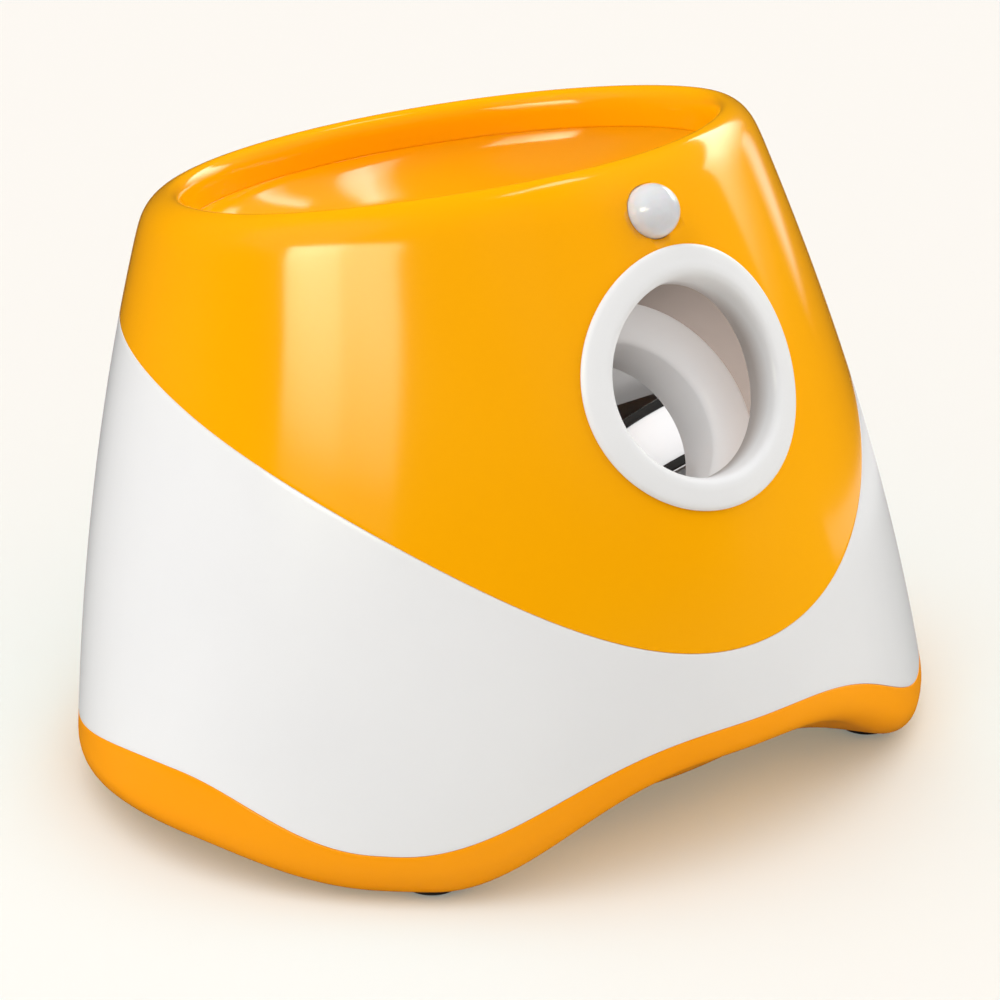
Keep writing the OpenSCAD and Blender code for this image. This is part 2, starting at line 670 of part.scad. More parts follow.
module frame_lower() {
    color("lightgray") difference() {
        union() {
            in_frame() {
                for (s = [0, 1]) mirror([s, 0, 0]) translate([0, 0, -plate_out]) linear_extrude(plate_t)
                    plate_half(plate_rear);
                for (s = [0, 1]) mirror([s, 0, 0]) translate([guide_in, 0, 0]) rotate([90, 0, 90])
                    linear_extrude(guide_t)
                    polygon([[barrel_from + 1, -plate_in - 1], [barrel_from + 1, plate_in], [50, plate_in],
                        [feed_y + 7, -feed_z + 10], [feed_y + 7, -feed_z - 8], [38, -feed_z - 8],
                            [38, -plate_in - 1]]);
                // Hanger for the feed motor
                translate([motor_plate_x, pinion_y - 11, pinion_z - 11])
                    cube([2.4, 22, -pinion_z + 11 - plate_out + 1]);
                // Ears of the ball lever
                for (x = [-6.2, 4.2]) translate([x, lever_y - 3, lever_z - 3])
                    cube([2, 6, 3 - lever_z - plate_out + 1]);
                // Hanger for the lever's switch
                translate([5.4, 18, -plate_out - 19]) cube([2, 12, 20]);
            }
            for (x = [plate_x - 3.4, -plate_x + 0.4]) translate([x, 0, 0]) side_bracket();
            for (f = frame_feet) translate([f[0] - 5, f[1] - 5, tray_floor + boss_h]) cube([10, 10, 3]);
        }
        in_frame() {
            for (s = [-1, 1]) {
                translate([s * wheel_x, 0, -plate_out - 1]) cylinder(plate_t + 2, 3.2, 3.2);
                for (m = [-1, 1]) translate([s * wheel_x + m * 8, 0, -plate_out - 1])
                    cylinder(plate_t + 2, 1.1, 1.1);
                translate([s > 0 ? guide_in - 1 : -guide_in - guide_t - 1, feed_y, -feed_z])
                    rotate([0, 90, 0]) cylinder(guide_t + 2, bush_r, bush_r);
            }
            for (p = post_places) translate([p[0], p[1], -plate_out - 1])
                cylinder(plate_t + 2, screw_r + slip, screw_r + slip);
            // Slot of the ball lever
            translate([-4, 22, -plate_out - 1]) cube([8, 14, plate_t + 2]);
            translate([-10, lever_y, lever_z]) rotate([0, 90, 0]) cylinder(20, lever_pin_r, lever_pin_r);
            translate([motor_plate_x - 1, pinion_y, pinion_z]) rotate([0, 90, 0]) cylinder(5, 3.2, 3.2);
        }
        for (f = frame_feet) translate([f[0], f[1], tray_floor])
            cylinder(boss_h + 5, screw_r + slip, screw_r + slip);
        // Room for the heads of the foot screws
        for (f = frame_feet) translate([f[0], f[1], tray_floor + boss_h + 3])
            cylinder(5, screw_head_r + slip, screw_head_r + slip);
    }
}

chute_y = cradle_y - 6;
chute_r = ball_d / 2 + 2;

module frame_upper() {
    color("lightgray") in_frame() difference() {
        for (s = [0, 1]) mirror([s, 0, 0]) translate([0, 0, plate_in]) linear_extrude(plate_t)
            plate_half(plate_rear + 8);
        translate([0, chute_y, plate_in - 1]) cylinder(plate_t + 2, chute_r, chute_r);
        for (p = post_places) translate([p[0], p[1], plate_in - 1])
            cylinder(plate_t + 2, screw_r + slip, screw_r + slip);
    }
}

module frame_posts() {
    color("silver") in_frame() difference() {
        for (p = post_places) translate([p[0], p[1], -plate_in]) tube(post_r, screw_r, 2 * plate_in);
        for (s = [-1, 1]) translate([s * post_places[0][0], post_front + 9, 0]) rotate([90, 0, 0])
            cylinder(20, 1.3, 1.3);
    }
}

module drop_chute() {
    steps = 48;
    lap = 4;
    top_r = drop_r + bowl_wall + 0.4;
    function flat_ring(r, z) = [for (i = [0:steps - 1]) let (b = 360 * i / steps)
        [r * sin(b), drop_y - r * cos(b), z]];
    function slant_ring(r, z) = [for (i = [0:steps - 1]) let (b = 360 * i / steps)
        from_frame(r * sin(b), chute_y - r * cos(b), z)];
    color("lightgray") union() {
        hollow_skin([slant_ring(chute_r + 2, plate_out), flat_ring(top_r + 2, drop_z - spout_l - 1),
            flat_ring(top_r + 2, drop_z - spout_l + lap), flat_ring(top_r, drop_z - spout_l + lap),
            flat_ring(top_r, drop_z - spout_l - 1), slant_ring(chute_r, plate_out)]);
    }
}

// ---- wheels and motors ----

hub_r = 5;
hub_to = -plate_in + 1.5;

module at_wheel(side) {
    in_frame() translate([side * wheel_x, 0, 0]) children();
}

module flywheel() {
    drum_r = wheel_r - band_proud;
    half = tread_w / 2;
    groove = drum_r - band_groove;
    g_out = half - 0.3;
    g_in = g_out - band_w;
    color("white") difference() {
        rotate_extrude($fn = 96)
            polygon([[hub_r - 3, -half + 3], [drum_r - 4, -half + 3], [drum_r - 3, -half],
            [groove, -half], [groove + 0.4, -g_out], [groove, -g_out], [groove, -g_in], [drum_r, -g_in],
            [drum_r - 0.4, 0], [drum_r, g_in], [groove, g_in], [groove, g_out], [groove + 0.4, g_out],
                [groove, half],
            [drum_r - 3, half], [drum_r - 4, half - 3], [hub_r - 3, half - 3]]);
        translate([0, 0, -half]) cylinder(tread_w, motor_shaft_r, motor_shaft_r);
        for (t = [0:60:300]) rotate(t) translate([15, 0, -half]) cylinder(tread_w, 4, 4);
    }
    color("white") translate([0, 0, hub_to]) tube(hub_r, motor_shaft_r, -hub_to - half + 3);
}

module flywheel_bands() {
    drum_r = wheel_r - band_proud;
    g_out = tread_w / 2 - 0.3;
    g_in = g_out - band_w;
    color([0.08, 0.08, 0.08]) for (s = [-1, 1]) rotate_extrude($fn = 96)
        polygon([[drum_r - band_groove, s * g_in], [drum_r - band_groove, s * g_out],
            [wheel_r - 0.5, s * g_out],
            [wheel_r, s * (g_out - 0.5)], [wheel_r, s * (g_in + 0.5)], [wheel_r - 0.5, s * g_in]]);
}

module motor_shaft() {
    color("silver") translate([0, 0, -plate_out - 26])
        cylinder(plate_out + 26 + 6, motor_shaft_r, motor_shaft_r);
}

module motor() {
    color("gray") difference() {
        union() {
            translate([0, 0, -plate_out - motor_l]) cylinder(motor_l, motor_r, motor_r);
            translate([0, 0, -plate_out]) cylinder(plate_t - 0.4, 3.1, 3.1);
        }
        translate([0, 0, -plate_out - 27]) cylinder(40, motor_shaft_r + run_gap, motor_shaft_r + run_gap);
        for (m = [-1, 1]) translate([m * 8, 0, -plate_out - 5]) cylinder(6, 1, 1);
    }
    color("white") translate([0, 0, -plate_out - motor_l - 2]) difference() {
        cylinder(2, motor_r - 3, motor_r - 3);
        for (m = [-1, 1]) translate([m * 6 - 1.5, -0.4, -1]) cube([3, 0.8, 2]);
    }
}

module motor_screws() {
    color("silver") for (s = [-1, 1]) at_wheel(s) for (m = [-1, 1])
        translate([m * 8, 0, -plate_in]) rotate([180, 0, 0]) pan_screw(1, 6, 2, 1.2);
}

// ---- feed ----

module gear(teeth, w, bore_r) {
    pitch_r = gear_module * teeth / 2;
    root_r = pitch_r - 1.2 * gear_module;
    tip_r = pitch_r + 0.8 * gear_module;
    part = 360 / teeth;
    difference() {
        linear_extrude(w) polygon([for (i = [0:teeth - 1], k =
            [[root_r, -0.27], [pitch_r, -0.19], [tip_r, -0.08],
            [tip_r, 0.08], [pitch_r, 0.19], [root_r, 0.27]]) let (t = (i + k[1]) * part)
                [k[0] * cos(t), k[0] * sin(t)]]);
        translate([0, 0, -1]) cylinder(w + 2, bore_r, bore_r);
    }
}

gear_x = 31.5;
gear_w = 5;
feed_shaft_to = 38;

module at_feed() {
    in_frame() translate([0, feed_y, -feed_z]) children();
}

module feed_arm() {
    ball_back = cradle_y + ball_d / 2;
    face_y = ball_back + 0.5 - feed_y;
    half_arm = 18;
    color("white") at_feed() difference() {
        union() {
            translate([-half_arm, face_y, 0]) cube([2 * half_arm, 3.2, feed_arm_l]);
            for (x = [-half_arm, -1.5, half_arm - 3]) translate([x, face_y, 0]) cube([3, 7, feed_arm_l - 10]);
            translate([-half_arm - 4, 0, 0]) rotate([0, 90, 0]) cylinder(2 * half_arm + 8, 6, 6);
        }
        translate([-half_arm - 5, 0, 0]) rotate([0, 90, 0])
            cylinder(2 * half_arm + 10, feed_shaft_r, feed_shaft_r);
    }
}

module feed_shaft() {
    color("silver") at_feed() translate([-guide_in - guide_t - 2, 0, 0]) rotate([0, 90, 0])
        cylinder(guide_in + guide_t + 2 + feed_shaft_to, feed_shaft_r, feed_shaft_r);
}

module feed_gear() {
    color("ivory") at_feed() translate([gear_x, 0, 0]) rotate([0, 90, 0])
        gear(gear_teeth, gear_w, feed_shaft_r);
}

pinion_shaft_r = 1.5;
// The pinion is turned so that one of its gaps faces the gear's tooth
pinion_turn = 17;

module feed_pinion() {
    color("ivory") in_frame() translate([gear_x - 0.5, pinion_y, pinion_z]) rotate([0, 90, 0]) {
        rotate(pinion_turn) gear(pinion_teeth, gear_w + 1, pinion_shaft_r);
        translate([0, 0, 0.5]) cylinder(motor_plate_x - gear_x + 12, pinion_shaft_r, pinion_shaft_r);
    }
}

module feed_motor() {
    box_l = 16;
    can_l = 20;
    x0 = motor_plate_x + 2.4;
    color("gray") in_frame() difference() {
        union() {
            translate([x0, pinion_y - 11, pinion_z - 11]) cube([box_l, 22, 22]);
            translate([x0 + box_l, pinion_y, pinion_z]) rotate([0, 90, 0]) cylinder(can_l, 10, 10);
        }
        translate([x0 - 1, pinion_y, pinion_z]) rotate([0, 90, 0])
            cylinder(13, pinion_shaft_r + run_gap, pinion_shaft_r + run_gap);
    }
}

module feed_bushes() {
    color("goldenrod") at_feed() for (s = [0, 1]) mirror([s, 0, 0]) translate([guide_in, 0, 0])
        rotate([0, 90, 0])
        tube(bush_r, feed_shaft_r + run_gap, guide_t);
}

lever_reach = cradle_y - lever_y;

module ball_lever() {
    bump_top = -plate_in + 1.5 - lever_z;
    color("white") in_frame() translate([0, lever_y, lever_z]) rotate([90, 0, 90]) difference() {
        translate([0, 0, -3]) linear_extrude(6) union() {
            circle(2.8);
            polygon([[0, -1.4], [lever_reach + 3, -1.4], [lever_reach + 3, 1.4],
                [lever_reach + 1.8, bump_top],
                [lever_reach - 1.8, bump_top], [lever_reach - 4.5, 1.4], [0, 1.4]]);
        }
        translate([0, 0, -4]) cylinder(8, lever_pin_r + run_gap, lever_pin_r + run_gap);
    }
}

module lever_pin() {
    color("silver") in_frame() translate([-6.2, lever_y, lever_z]) rotate([0, 90, 0])
        cylinder(12.4, lever_pin_r, lever_pin_r);
}

module lever_switch() {
    top = lever_z - 4.4;
    color([0.1, 0.1, 0.1]) in_frame() {
        translate([-1.2, 16, top - 9]) cube([6.6, 20, 9]);
        translate([0, 24, top]) cylinder(1, 1.2, 1.2);
        for (y = [18, 26, 34]) translate([1.6, y - 0.8, top - 13]) cube([1, 1.6, 4]);
    }
}

// ---- battery ----

cells_z = tray_floor - 0.5 + cell_d / 2;

module battery_box() {
    color("lightgray") difference() {
        union() {
            translate([-box_in_x / 2 - box_wall, box_y - box_wall, tray_floor])
                cube([box_in_x + 2 * box_wall, box_in_y + 2 * box_wall, box_top + box_wall - tray_floor]);
            for (f = box_feet) translate([f[0], f[1], tray_floor + boss_h]) {
                cylinder(2.4, boss_r, boss_r);
                translate([f[0] > 0 ? -8 : 0, -boss_r, 0]) cube([8, 2 * boss_r, 2.4]);
            }
        }
        translate([-box_in_x / 2, box_y, tray_floor - 1])
            cube([box_in_x, box_in_y, box_top - tray_floor + 1]);
        for (f = box_feet) translate([f[0], f[1], tray_floor])
            cylinder(boss_h + 4, screw_r + slip, screw_r + slip);
        for (f = box_feet) translate([f[0], f[1], tray_floor - 1])
            cylinder(boss_h + 1, boss_r + 0.3, boss_r + 0.3);
    }
}

module each_cell() {
    for (x = [-1, 1], row = [0:2])
        translate([x * (cell_l / 2 + 0.3), box_y + cell_gap + cell_d / 2 + row * (cell_d + cell_gap),
            cells_z])
            rotate([0, x * (row == 1 ? -90 : 90), 0]) children();
}

module battery_cells() {
    cap_h = 1.2;
    color("dimgray") each_cell() {
        translate([0, 0, -cell_l / 2]) cylinder(cell_l - cap_h, cell_d / 2, cell_d / 2);
        translate([0, 0, cell_l / 2 - cap_h]) cylinder(cap_h, 3.5, 3.5);
    }
}

module battery_contacts() {
    end = cell_l + 0.3;
    plate = 0.5;
    color("silver") for (x = [-1, 1], row = [0:2])
        let (y = box_y + cell_gap + cell_d / 2 + row * (cell_d + cell_gap))
        translate([x * (box_in_x / 2 - plate / 2), y, cells_z]) {
            cube([plate, 16, 16], center = true);
            rotate([0, -x * 90, 0]) translate([0, 0, plate / 2])
                cylinder(box_in_x / 2 - plate - end, 6, 4.2);
        }
}

module battery_door() {
    top = belly_z - slip;
    color("orange") difference() {
        translate([-door_half, box_y - 3, top - door_t]) cube([2 * door_half, box_in_y + 6, door_t]);
        // Grip ribs for the thumb
        for (y = [10:2.4:22]) translate([-14, box_y - 3 + y, top - door_t - 0.1]) cube([28, 1.2, 0.7]);
    }
}

// ---- rear panel ----

button_at = [-21, 0];
knob_at = [2, -2];
inlet_at = [22, -2];
light_at = [[-5, 12.4], [2, 12.4], [9, 12.4]];
inlet_r = 6;
knob_shaft_r = 3;
panel_floor_t = 2.4;

module on_panel(p, y = 0) {
    translate([p[0], panel_y + y, panel_z + p[1]]) rotate([-90, 0, 0]) children();
}

module control_panel() {
    color("white") difference() {
        intersection() {
            translate([0, panel_y + 20, panel_z])
                rounded_plate(panel_w, panel_h, panel_r, 20 + panel_floor_t);
            body_block(-0.6, panel_z - 40, panel_z + 40);
        }
        translate([0, panel_y + 30, panel_z]) rounded_plate(panel_w - 4, panel_h - 4, panel_r - 2, 30);
        on_panel(button_at, -5) cylinder(10, button_r + 0.08, button_r + 0.08);
        on_panel(knob_at, -5) cylinder(10, knob_shaft_r + run_gap, knob_shaft_r + run_gap);
        on_panel(inlet_at, -5) cylinder(10, inlet_r, inlet_r);
        for (p = light_at) on_panel(p, -5) cylinder(10, 1.6, 1.6);
    }
    color("white") for (x = [-1, 1], z = [-1, 1])
        translate([x * 24, panel_y - 1, panel_z + z * 14]) rotate([90, 0, 0]) tube(2.8, 1, board_gap - 1);
}

board_gap = 14;

module power_button() {
    color("orange") on_panel(button_at, 0) {
        translate([0, 0, -panel_floor_t - 1.4]) cylinder(panel_floor_t + 4.4, button_r, button_r);
        translate([0, 0, 3]) cylinder(0.8, button_r, button_r - 0.8);
        translate([0, 0, -panel_floor_t - 2.6]) cylinder(1.2, button_r + 1.2, button_r + 1.2);
        translate([0, 0, -board_gap + 5.6 + button_travel])
            cylinder(board_gap - panel_floor_t - 5.6 - button_travel, 2, 2);
    }
}

module distance_knob() {
    color([0.93, 0.93, 0.93]) on_panel(knob_at, 0) {
        difference() {
            translate([0, 0, 0.4]) union() {
                cylinder(6, knob_r, knob_r - 0.6);
                translate([0, 0, 6]) cylinder(0.8, knob_r - 0.6, knob_r - 1.6);
            }
            for (t = [0:20:340]) rotate(t) translate([knob_r + 0.5, 0, 1]) cylinder(10, 1, 1);
            translate([-0.7, -knob_r + 1.6, 6]) cube([1.4, 5, 2]);
        }
        translate([0, 0, -board_gap + 6]) cylinder(board_gap - 5.4, knob_shaft_r, knob_shaft_r);
    }
}

module status_lights() {
    color("limegreen") for (p = light_at) on_panel(p, 0) {
        translate([0, 0, -panel_floor_t - 1.2]) cylinder(1.2, 2.2, 2.2);
        translate([0, 0, -panel_floor_t]) cylinder(panel_floor_t + 0.3, 1.6, 1.6);
        translate([0, 0, 0.3]) intersection() {
            sphere(1.6, $fn = 24);
            cylinder(2, 3, 3);
        }
    }
}

module dc_inlet() {
    socket_r = 2.9;
    socket_l = 9;
    color([0.1, 0.1, 0.1]) on_panel(inlet_at, 0) difference() {
        union() {
            cylinder(1.4, inlet_r + 1.4, inlet_r + 1);
            translate([0, 0, -panel_floor_t - 8]) cylinder(panel_floor_t + 8, inlet_r, inlet_r);
        }
        translate([0, 0, 1.4 - socket_l]) cylinder(socket_l + 1, socket_r, socket_r);
    }
    color("silver") on_panel(inlet_at, 0) {
        translate([0, 0, 1.4 - socket_l]) cylinder(socket_l - 1.6, 1.05, 1.05);
        for (x = [-2.5, 2.5]) translate([x - 0.8, -0.3, -board_gap])
            cube([1.6, 0.6, board_gap - panel_floor_t - 8]);
    }
}

board_w = 62;
board_h = 46;
board_t = 1.6;

module main_board() {
    color("seagreen") difference() {
        translate([-board_w / 2, panel_y - board_gap - board_t, panel_z - board_h / 2])
            cube([board_w, board_t, board_h]);
        for (x = [-1, 1], z = [-1, 1]) translate([x * 24, panel_y - board_gap + 1, panel_z + z * 14])
            rotate([90, 0, 0]) cylinder(board_t + 2, 1.2, 1.2);
    }
}

module board_parts() {
    face = panel_y - board_gap;
    back = face - board_t;
    // Power switch and distance switch behind their buttons
    color([0.1, 0.1, 0.1]) {
        translate([button_at[0] - 4, face, panel_z + button_at[1] - 4]) cube([8, 4, 8]);
        translate([button_at[0], face + 4, panel_z + button_at[1]]) rotate([-90, 0, 0])
            cylinder(1.3, 1.6, 1.6);
        translate([knob_at[0] - 7, face, panel_z + knob_at[1] - 7]) cube([14, 5.7, 14]);
        for (x = [-20, -10, 0]) translate([x, back - 6, panel_z - board_h / 2 + 2]) cube([9, 6, 9]);
        translate([-6, back - 2.2, panel_z + 2]) cube([14, 2.2, 9]);
    }
    color("navy") for (x = [14, 24]) translate([x, back, panel_z + 4]) rotate([90, 0, 0]) cylinder(12, 4, 4);
    color("royalblue") translate([11, back - 13, panel_z - 20]) cube([9, 13, 16]);
}

module board_screws() {
    color("silver") for (x = [-1, 1], z = [-1, 1])
        translate([x * 24, panel_y - board_gap - board_t, panel_z + z * 14])
        rotate([-90, 0, 0]) pan_screw(0.95, 7, 2, 1.3);
}

// ---- sensor ----

module sensor_lens() {
    flange_z = -4.4;
    flange_t = 1.2;
    color("white") at_sensor() difference() {
        union() {
            sphere(lens_r, $fn = 64);
            translate([0, 0, flange_z]) cylinder(-flange_z, lens_r, lens_r);
            translate([0, 0, flange_z]) cylinder(flange_t, lens_r + 1, lens_r + 1);
        }
        translate([0, 0, flange_z - 10]) cylinder(10, 2 * lens_r, 2 * lens_r);
        translate([0, 0, flange_z - 1]) cylinder(3.4, lens_r - 1.2, lens_r - 1.2);
    }
}

module sensor_board() {
    half = lens_r - 0.3;
    top = -6;
    sink = 0.2;
    color("seagreen") at_sensor() translate([-half, -half - 1, top - board_t]) cube([2 * half, 13, board_t]);
    color("silver") at_sensor() translate([0, -0.5, top - sink]) cylinder(3.6 + sink, 3.4, 3.4);
    color("white") at_sensor() for (x = [-1, 1])
        translate([x * (lens_r - 1.5), -6.5, top - sink]) cylinder(1.6 + sink, 1.1, 1.1);
}

// ---- fasteners ----

module bowl_screws() {
    color("silver") for (a = bowl_lugs) translate(bowl_boss(a) - [0, 0, ear_t])
        pan_screw(screw_r, 10, screw_head_r, screw_head_h);
}

module shell_screws() {
    color("silver") for (a = seam_lugs) let (p = lug_at(a, seam_z(a)))
        translate([p[0], p[1], seam_lug_z(a) - lug_l])
            pan_screw(screw_r, lug_l + 8, screw_head_r, screw_head_h);
}

module base_screws() {
    color("silver") for (a = base_lugs) let (p = lug_at(a, trim_z(a)))
        translate([p[0], p[1], base_head_z(a)]) pan_screw(screw_r, 13, screw_head_r, screw_head_h);
}

module frame_screws() {
    color("silver") {
        for (f = frame_feet) translate([f[0], f[1], tray_floor + boss_h + 3]) rotate([180, 0, 0])
            pan_screw(screw_r, 8, screw_head_r, screw_head_h);
        for (f = box_feet) translate([f[0], f[1], tray_floor + boss_h + 2.4]) rotate([180, 0, 0])
            pan_screw(screw_r, 8, screw_head_r, screw_head_h);
        in_frame() for (p = post_places) {
            translate([p[0], p[1], plate_out]) rotate([180, 0, 0])
                pan_screw(screw_r, 10, screw_head_r, screw_head_h);
            translate([p[0], p[1], -plate_out]) pan_screw(screw_r, 10, screw_head_r, screw_head_h);
        }
        in_frame() for (s = [-1, 1]) translate([s * post_places[0][0], post_front - post_r, 0])
            rotate([-90, 0, 0])
            pan_screw(1.3, 2 * post_r + 2, 2.3, 1.6);
    }
}

// ---- wire leads ----

lead_r = 0.9;

function unit(v) = v / norm(v);
function side_of(d) = abs(d[2]) < 0.9 ? unit(cross(d, [0, 0, 1])) : unit(cross(d, [1, 0, 0]));
function curve_point(p, t) = let (n = len(p) - 1, i = min(floor(t), n - 1), f = t - i,
    a = p[max(i - 1, 0)], b = p[i], c = p[i + 1], d = p[min(i + 2, n)])
    (2 * b + (c - a) * f + (2 * a - 5 * b + 4 * c - d) * f * f + (3 * b - a - 3 * c + d) * f * f * f) / 2;

module lead(points) {
    steps = 4;
    last = (len(points) - 1) * steps;
    line = [for (k = [0:last]) curve_point(points, k / steps)];
    solid_skin([for (k = [0:last]) let (d = unit(line[min(k + 1, last)] - line[max(k - 1, 0)]),
        u = side_of(d), v = cross(d, u)) [for (j = [0:5])
            line[k] + lead_r * (cos(60 * j) * v - sin(60 * j) * u)]]);
}

plug_y = panel_y - board_gap - board_t - 6.3;
plug_z = panel_z - board_h / 2 + 5;
motor_end = -plate_out - motor_l - 2.6;
apart = 1.3;

// The two leads of each part, side by side: side is -1 for one and 1 for the other
module leads_of(side) {
    up = side * apart;
    for (m = [-1, 1]) let (plug_x = m > 0 ? 6.8 : -5.5)
        lead([from_frame(m * wheel_x + side * 5.5, 0, motor_end),
        [m * 62 + side * 3, -69, 31 + side], [m * 72, -27, 14.8 + up], [m * 74, 41, 29 + up],
        [m * 48, 67, 50 + up], [plug_x, 74, plug_z + up], [plug_x, plug_y, plug_z + up]]);
    lead([[motor_plate_x + 39.2, -27 + side * 4, 31 + side], [80, -13, 34 + up], [70, 37, 42 + up],
        [40, 63, 58 + up], [1.9, 69, plug_z + up], [1.9, plug_y, plug_z + up]]);
    lead([[-15 + side * 4, 80, box_top + box_wall + 0.3], [-15 + side * 2, 78, 50],
        [-15 + side * apart, 79, plug_z - 1.6], [-15 + side * apart, plug_y, plug_z - 0.6]]);
}

module red_leads() {
    color("firebrick") leads_of(1);
}

module black_leads() {
    color([0.1, 0.1, 0.1]) leads_of(-1);
}

module signal_leads() {
    color("whitesmoke") {
        lead([from_frame(2.1, 26, lever_z - 18), [-12, -39, 20], [-66, 1, 15], [-70, 43, 34], [-54, 65, 57],
            [-18.6, 77, plug_z + 4.6], [-18.6, plug_y, plug_z + 4.6]]);
        lead([[6, -56, 170], [44, -59, 158], [82, -29, 136], [93, 21, 100], [70, 65, 72],
            [7.4, 76, plug_z + 4.8], [7.4, plug_y, plug_z + 4.8]]);
    }
}

upper_shell();
lower_shell();
hopper_bowl();
base_tray();
rubber_feet();
nozzle_ring();
nozzle_well();
launch_barrel();
frame_lower();
frame_upper();
frame_posts();
drop_chute();
at_wheel(-1) flywheel();  // flywheel_left
at_wheel(1) flywheel();  // flywheel_right
at_wheel(-1) flywheel_bands();  // flywheel_bands_left
at_wheel(1) flywheel_bands();  // flywheel_bands_right
at_wheel(-1) motor_shaft();  // motor_shaft_left
at_wheel(1) motor_shaft();  // motor_shaft_right
at_wheel(-1) motor();  // motor_left
at_wheel(1) motor();  // motor_right
motor_screws();
feed_arm();
feed_shaft();
feed_gear();
feed_pinion();
feed_motor();
feed_bushes();
ball_lever();
lever_pin();
lever_switch();
battery_box();
battery_cells();
battery_contacts();
battery_door();
control_panel();
power_button();
distance_knob();
status_lights();
dc_inlet();
main_board();
board_parts();
board_screws();
sensor_lens();
sensor_board();
bowl_screws();
shell_screws();
base_screws();
frame_screws();
red_leads();
black_leads();
signal_leads();
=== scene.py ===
import bpy, bmesh, json, math
from mathutils import Vector, Matrix

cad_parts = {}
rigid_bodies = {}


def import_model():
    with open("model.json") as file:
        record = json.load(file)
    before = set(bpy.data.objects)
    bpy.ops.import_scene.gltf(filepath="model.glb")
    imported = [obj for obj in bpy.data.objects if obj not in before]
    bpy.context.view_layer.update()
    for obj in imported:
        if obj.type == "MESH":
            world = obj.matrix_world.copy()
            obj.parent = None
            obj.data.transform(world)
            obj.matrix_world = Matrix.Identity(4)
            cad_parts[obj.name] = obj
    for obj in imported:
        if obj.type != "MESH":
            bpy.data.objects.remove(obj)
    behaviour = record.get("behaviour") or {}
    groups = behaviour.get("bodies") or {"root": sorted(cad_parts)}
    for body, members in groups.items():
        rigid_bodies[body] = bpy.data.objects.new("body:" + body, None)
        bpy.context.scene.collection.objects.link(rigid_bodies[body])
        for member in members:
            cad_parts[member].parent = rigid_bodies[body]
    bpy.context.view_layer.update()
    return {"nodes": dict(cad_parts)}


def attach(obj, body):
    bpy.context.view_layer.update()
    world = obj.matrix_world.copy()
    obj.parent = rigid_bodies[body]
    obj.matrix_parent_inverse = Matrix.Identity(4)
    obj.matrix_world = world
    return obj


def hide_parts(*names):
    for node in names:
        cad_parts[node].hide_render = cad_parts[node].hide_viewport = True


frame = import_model()
cad = frame["nodes"]

# ---- Upper cover ----
# The orange cover is one injection-moulded ABS shell, polished to a high gloss. Its top rolls
# over into a wide soft rim, and its lower edge is an arc that meets the white cover. It is held
# from inside by six screws.

# The body's outline, given at four heights LINE_STEP apart; FRONT_DRAW flattens its front corners.
LINE_STEP = 0.065
HALF_W = (0.1347, 0.1214, 0.1042, 0.0853)
HALF_D = (0.1133, 0.1132, 0.1018, 0.0750)
MIDDLE_Y = (-0.0060, 0.0012, 0.0089, 0.0179)
FRONT_DRAW = (0.022, 0.044)
AROUND = 288
WALL = 0.0024
SEAM, EDGE_ROUND = 0.00006, 0.0003
RIM_Z, RIM_SLOPE, RIM_W = 0.1792, 0.228, 0.0125
PARTING_R, PARTING_Z, PARTING_Y = 0.262, 0.129, 0.0603


def through_four(values, z):
    """The cubic through the outline's four values."""
    t = z / LINE_STEP
    return (-values[0] * (t - 1) * (t - 2) * (t - 3) / 6 + values[1] * t * (t - 2) * (t - 3) / 2
            - values[2] * t * (t - 1) * (t - 3) / 2 + values[3] * t * (t - 1) * (t - 2) / 6)


def front_draw(z):
    return FRONT_DRAW[0] + (FRONT_DRAW[1] - FRONT_DRAW[0]) * z / (3 * LINE_STEP)


def outline(angle, z, inset=0.0):
    """A point of the body's outside, or inset from it. Angle 0 is the front."""
    s, c = math.sin(angle), math.cos(angle)
    q = 1 - front_draw(z) * (2 * s * c) ** 2 if c > 0 else 1.0
    return Vector(((through_four(HALF_W, z) - inset) * s * q,
                   through_four(MIDDLE_Y, z) - (through_four(HALF_D, z) - inset) * c * q, z))


def parting_z(angle):
    """The height of the arc between the covers, found in a few rounds."""
    z = PARTING_Z
    for _ in range(14):
        y = outline(angle, z).y
        z = PARTING_Z - PARTING_R + math.sqrt(PARTING_R ** 2 - (y - PARTING_Y) ** 2)
    return z


def rim_at(angle, inset, drop):
    """A point that lies drop below the sloping plane on top of the rim."""
    z = RIM_Z
    for _ in range(12):
        z = RIM_Z - RIM_SLOPE * outline(angle, z, inset).y
    return outline(angle, z - drop, inset)


def around(point_at, count=AROUND):
    """A ring of points, one for each angle."""
    return [point_at(2 * math.pi * i / count) for i in range(count)]


def fractions(count):
    return [step / count for step in range(count + 1)]


def seam_edge(edge_z, side):
    """Rings of the small round where a wall ends at a seam: its lower edge (1) or its upper edge (-1)."""
    return [around(lambda a: outline(a, edge_z(a) + side * SEAM / 2 + side * EDGE_ROUND * (1 - math.sin(t)),
                                     EDGE_ROUND * (1 - math.cos(t))))
            for t in [math.radians(turn) for turn in (90, 60, 30, 0)][::side]]


def wall_rings(z_from, z_to, shares, inset=0.0):
    """Rings of a wall that runs between two edges."""
    return [around(lambda a: outline(a, z_from(a) * (1 - share) + z_to(a) * share, inset))
            for share in shares]


def smooth_path(points, steps):
    """A smooth line through the points."""
    out = []
    for i in range(len(points) - 1):
        p0, p1 = points[max(i - 1, 0)], points[i]
        p2, p3 = points[i + 1], points[min(i + 2, len(points) - 1)]
        for k in range(steps):
            t = k / steps
            out.append(tuple(0.5 * (2 * b + (c - a) * t + (2 * a - 5 * b + 4 * c - d) * t * t
                                    + (3 * b - a - 3 * c + d) * t ** 3)
                             for a, b, c, d in zip(p0, p1, p2, p3)))
    return out + [tuple(points[-1])]


